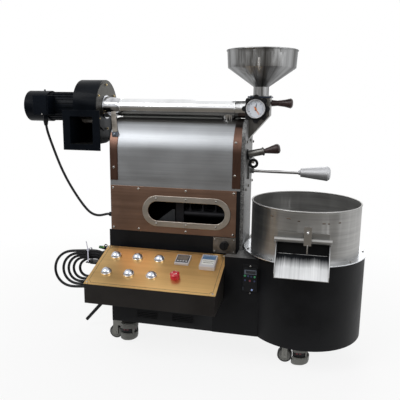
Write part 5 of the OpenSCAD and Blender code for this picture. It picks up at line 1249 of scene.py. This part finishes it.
def end_in(tree, shade, output="Material Output"):
    tree.tree.links.new(shade, tree.tree.nodes[output].inputs["Surface"])


def stage_sheet(name, corners):
    """A flat stage object; returns it with its material's tree."""
    bm = bmesh.new()
    bm.faces.new([bm.verts.new(corner) for corner in corners])
    mesh = bpy.data.meshes.new(name)
    bm.to_mesh(mesh)
    bm.free()
    sheet = bpy.data.objects.new(name, mesh)
    bpy.context.scene.collection.objects.link(sheet)
    made = bpy.data.materials.new(name)
    made.use_nodes = True
    mesh.materials.append(made)
    return sheet, Tree(made.node_tree)


def make_floor():
    corners = [(x * FLOOR_REACH, y * FLOOR_REACH, 0) for x, y in ((-1, -1), (1, -1), (1, 1), (-1, 1))]
    tree = stage_sheet("studio_floor", corners)[1]
    floor = tree.tree.nodes["Principled BSDF"]
    for label, value in (("Base Color", FLOOR_COLOUR), ("Roughness", 0.8), ("Specular IOR Level", 0.2)):
        floor.inputs[label].default_value = value
    white = tree.add("Emission", {"Color": WHITE, "Strength": 1.0}).outputs[0]
    away = tree.add("VectorMath", {0: tree.spot()}, operation="LENGTH").outputs["Value"]
    away = tree.spread(away, FLOOR_CLEAR_AT, FLOOR_WHITE_AT, FLOOR_WHITE_SHARE, 1.0)
    share = tree.maths("MULTIPLY", away, seen_share(tree))
    mixed = tree.add("MixShader", {0: share, 1: floor.outputs[0], 2: white}).outputs[0]
    end_in(tree, mixed)


def make_sky():
    """White to what sees the background, and a soft room light that fades to the horizon."""
    world = bpy.data.worlds.new("studio_sky")
    bpy.context.scene.world = world
    world.use_nodes = True
    tree = Tree(world.node_tree)
    height = tree.along(tree.add("TexCoord").outputs["Generated"], "Z")
    shade = tree.mixed(tree.spread(height, -0.1, 0.7), HORIZON_GREY, WHITE[:3])
    room = tree.add("Background", {"Color": shade, "Strength": WORLD_STRENGTH}).outputs[0]
    white = tree.add("Background", {"Color": WHITE, "Strength": 1.0}).outputs[0]
    mixed = tree.add("MixShader", {0: seen_share(tree), 1: room, 2: white}).outputs[0]
    end_in(tree, mixed, "World Output")


def make_flag(name, corners, low=FLAG_LOW, high=FLAG_HIGH):
    """A dark studio flag that only reflections see, darker at its foot than at its top edge."""
    sheet, tree = stage_sheet(name, corners)
    sheet.visible_camera = False
    sheet.visible_diffuse = False
    sheet.visible_shadow = False
    sheet.visible_transmission = False
    tree.tree.nodes.remove(tree.tree.nodes["Principled BSDF"])
    colour = tree.mixed(tree.spread(tree.along(tree.spot(), "Z"), 0.0, FLAG_TOP), low, high)
    glow = tree.add("Emission", {"Color": colour, "Strength": 1.0}).outputs[0]
    end_in(tree, glow)


def make_flags():
    """One stands beside the tray, black for painted shade in its reflection; one lies on the floor in
    front, and one stands behind the camera.
    """
    (near, back), (low, high) = TRAY_FLAG_Y, TRAY_FLAG_Z
    corners = [(TRAY_FLAG_X, *spot) for spot in ((near, low), (back, low), (back, high), (near, high))]
    # Painted shade for the tray's reflection.
    make_flag("tray_shade_flag", corners, FLAG_BLACK, FLAG_BLACK)
    for name, low, (y, z) in (("floor_flag", FLAG_LIFT, (FLAG_NEAR, FLAG_LIFT)),
                              ("upright_flag", 0, (FLAG_FAR, FLAG_TOP))):
        make_flag(name, [(-FLAG_SIDE, FLAG_FAR, low), (FLAG_SIDE, FLAG_FAR, low), (FLAG_SIDE, y, z),
                         (-FLAG_SIDE, y, z)])


def make_lamp(name, place, target, size, power):
    data = bpy.data.lights.new(name, "AREA")
    data.size = size
    data.energy = power
    lamp = bpy.data.objects.new(name, data)
    bpy.context.scene.collection.objects.link(lamp)
    direction = Vector(target) - Vector(place)
    lamp.matrix_world = Matrix.Translation(place) @ direction.to_track_quat("-Z", "Y").to_matrix().to_4x4()


make_floor()
make_sky()
make_flags()
for lamp in LAMPS:
    make_lamp(*lamp)

bpy.context.scene.view_settings.view_transform = "Standard"
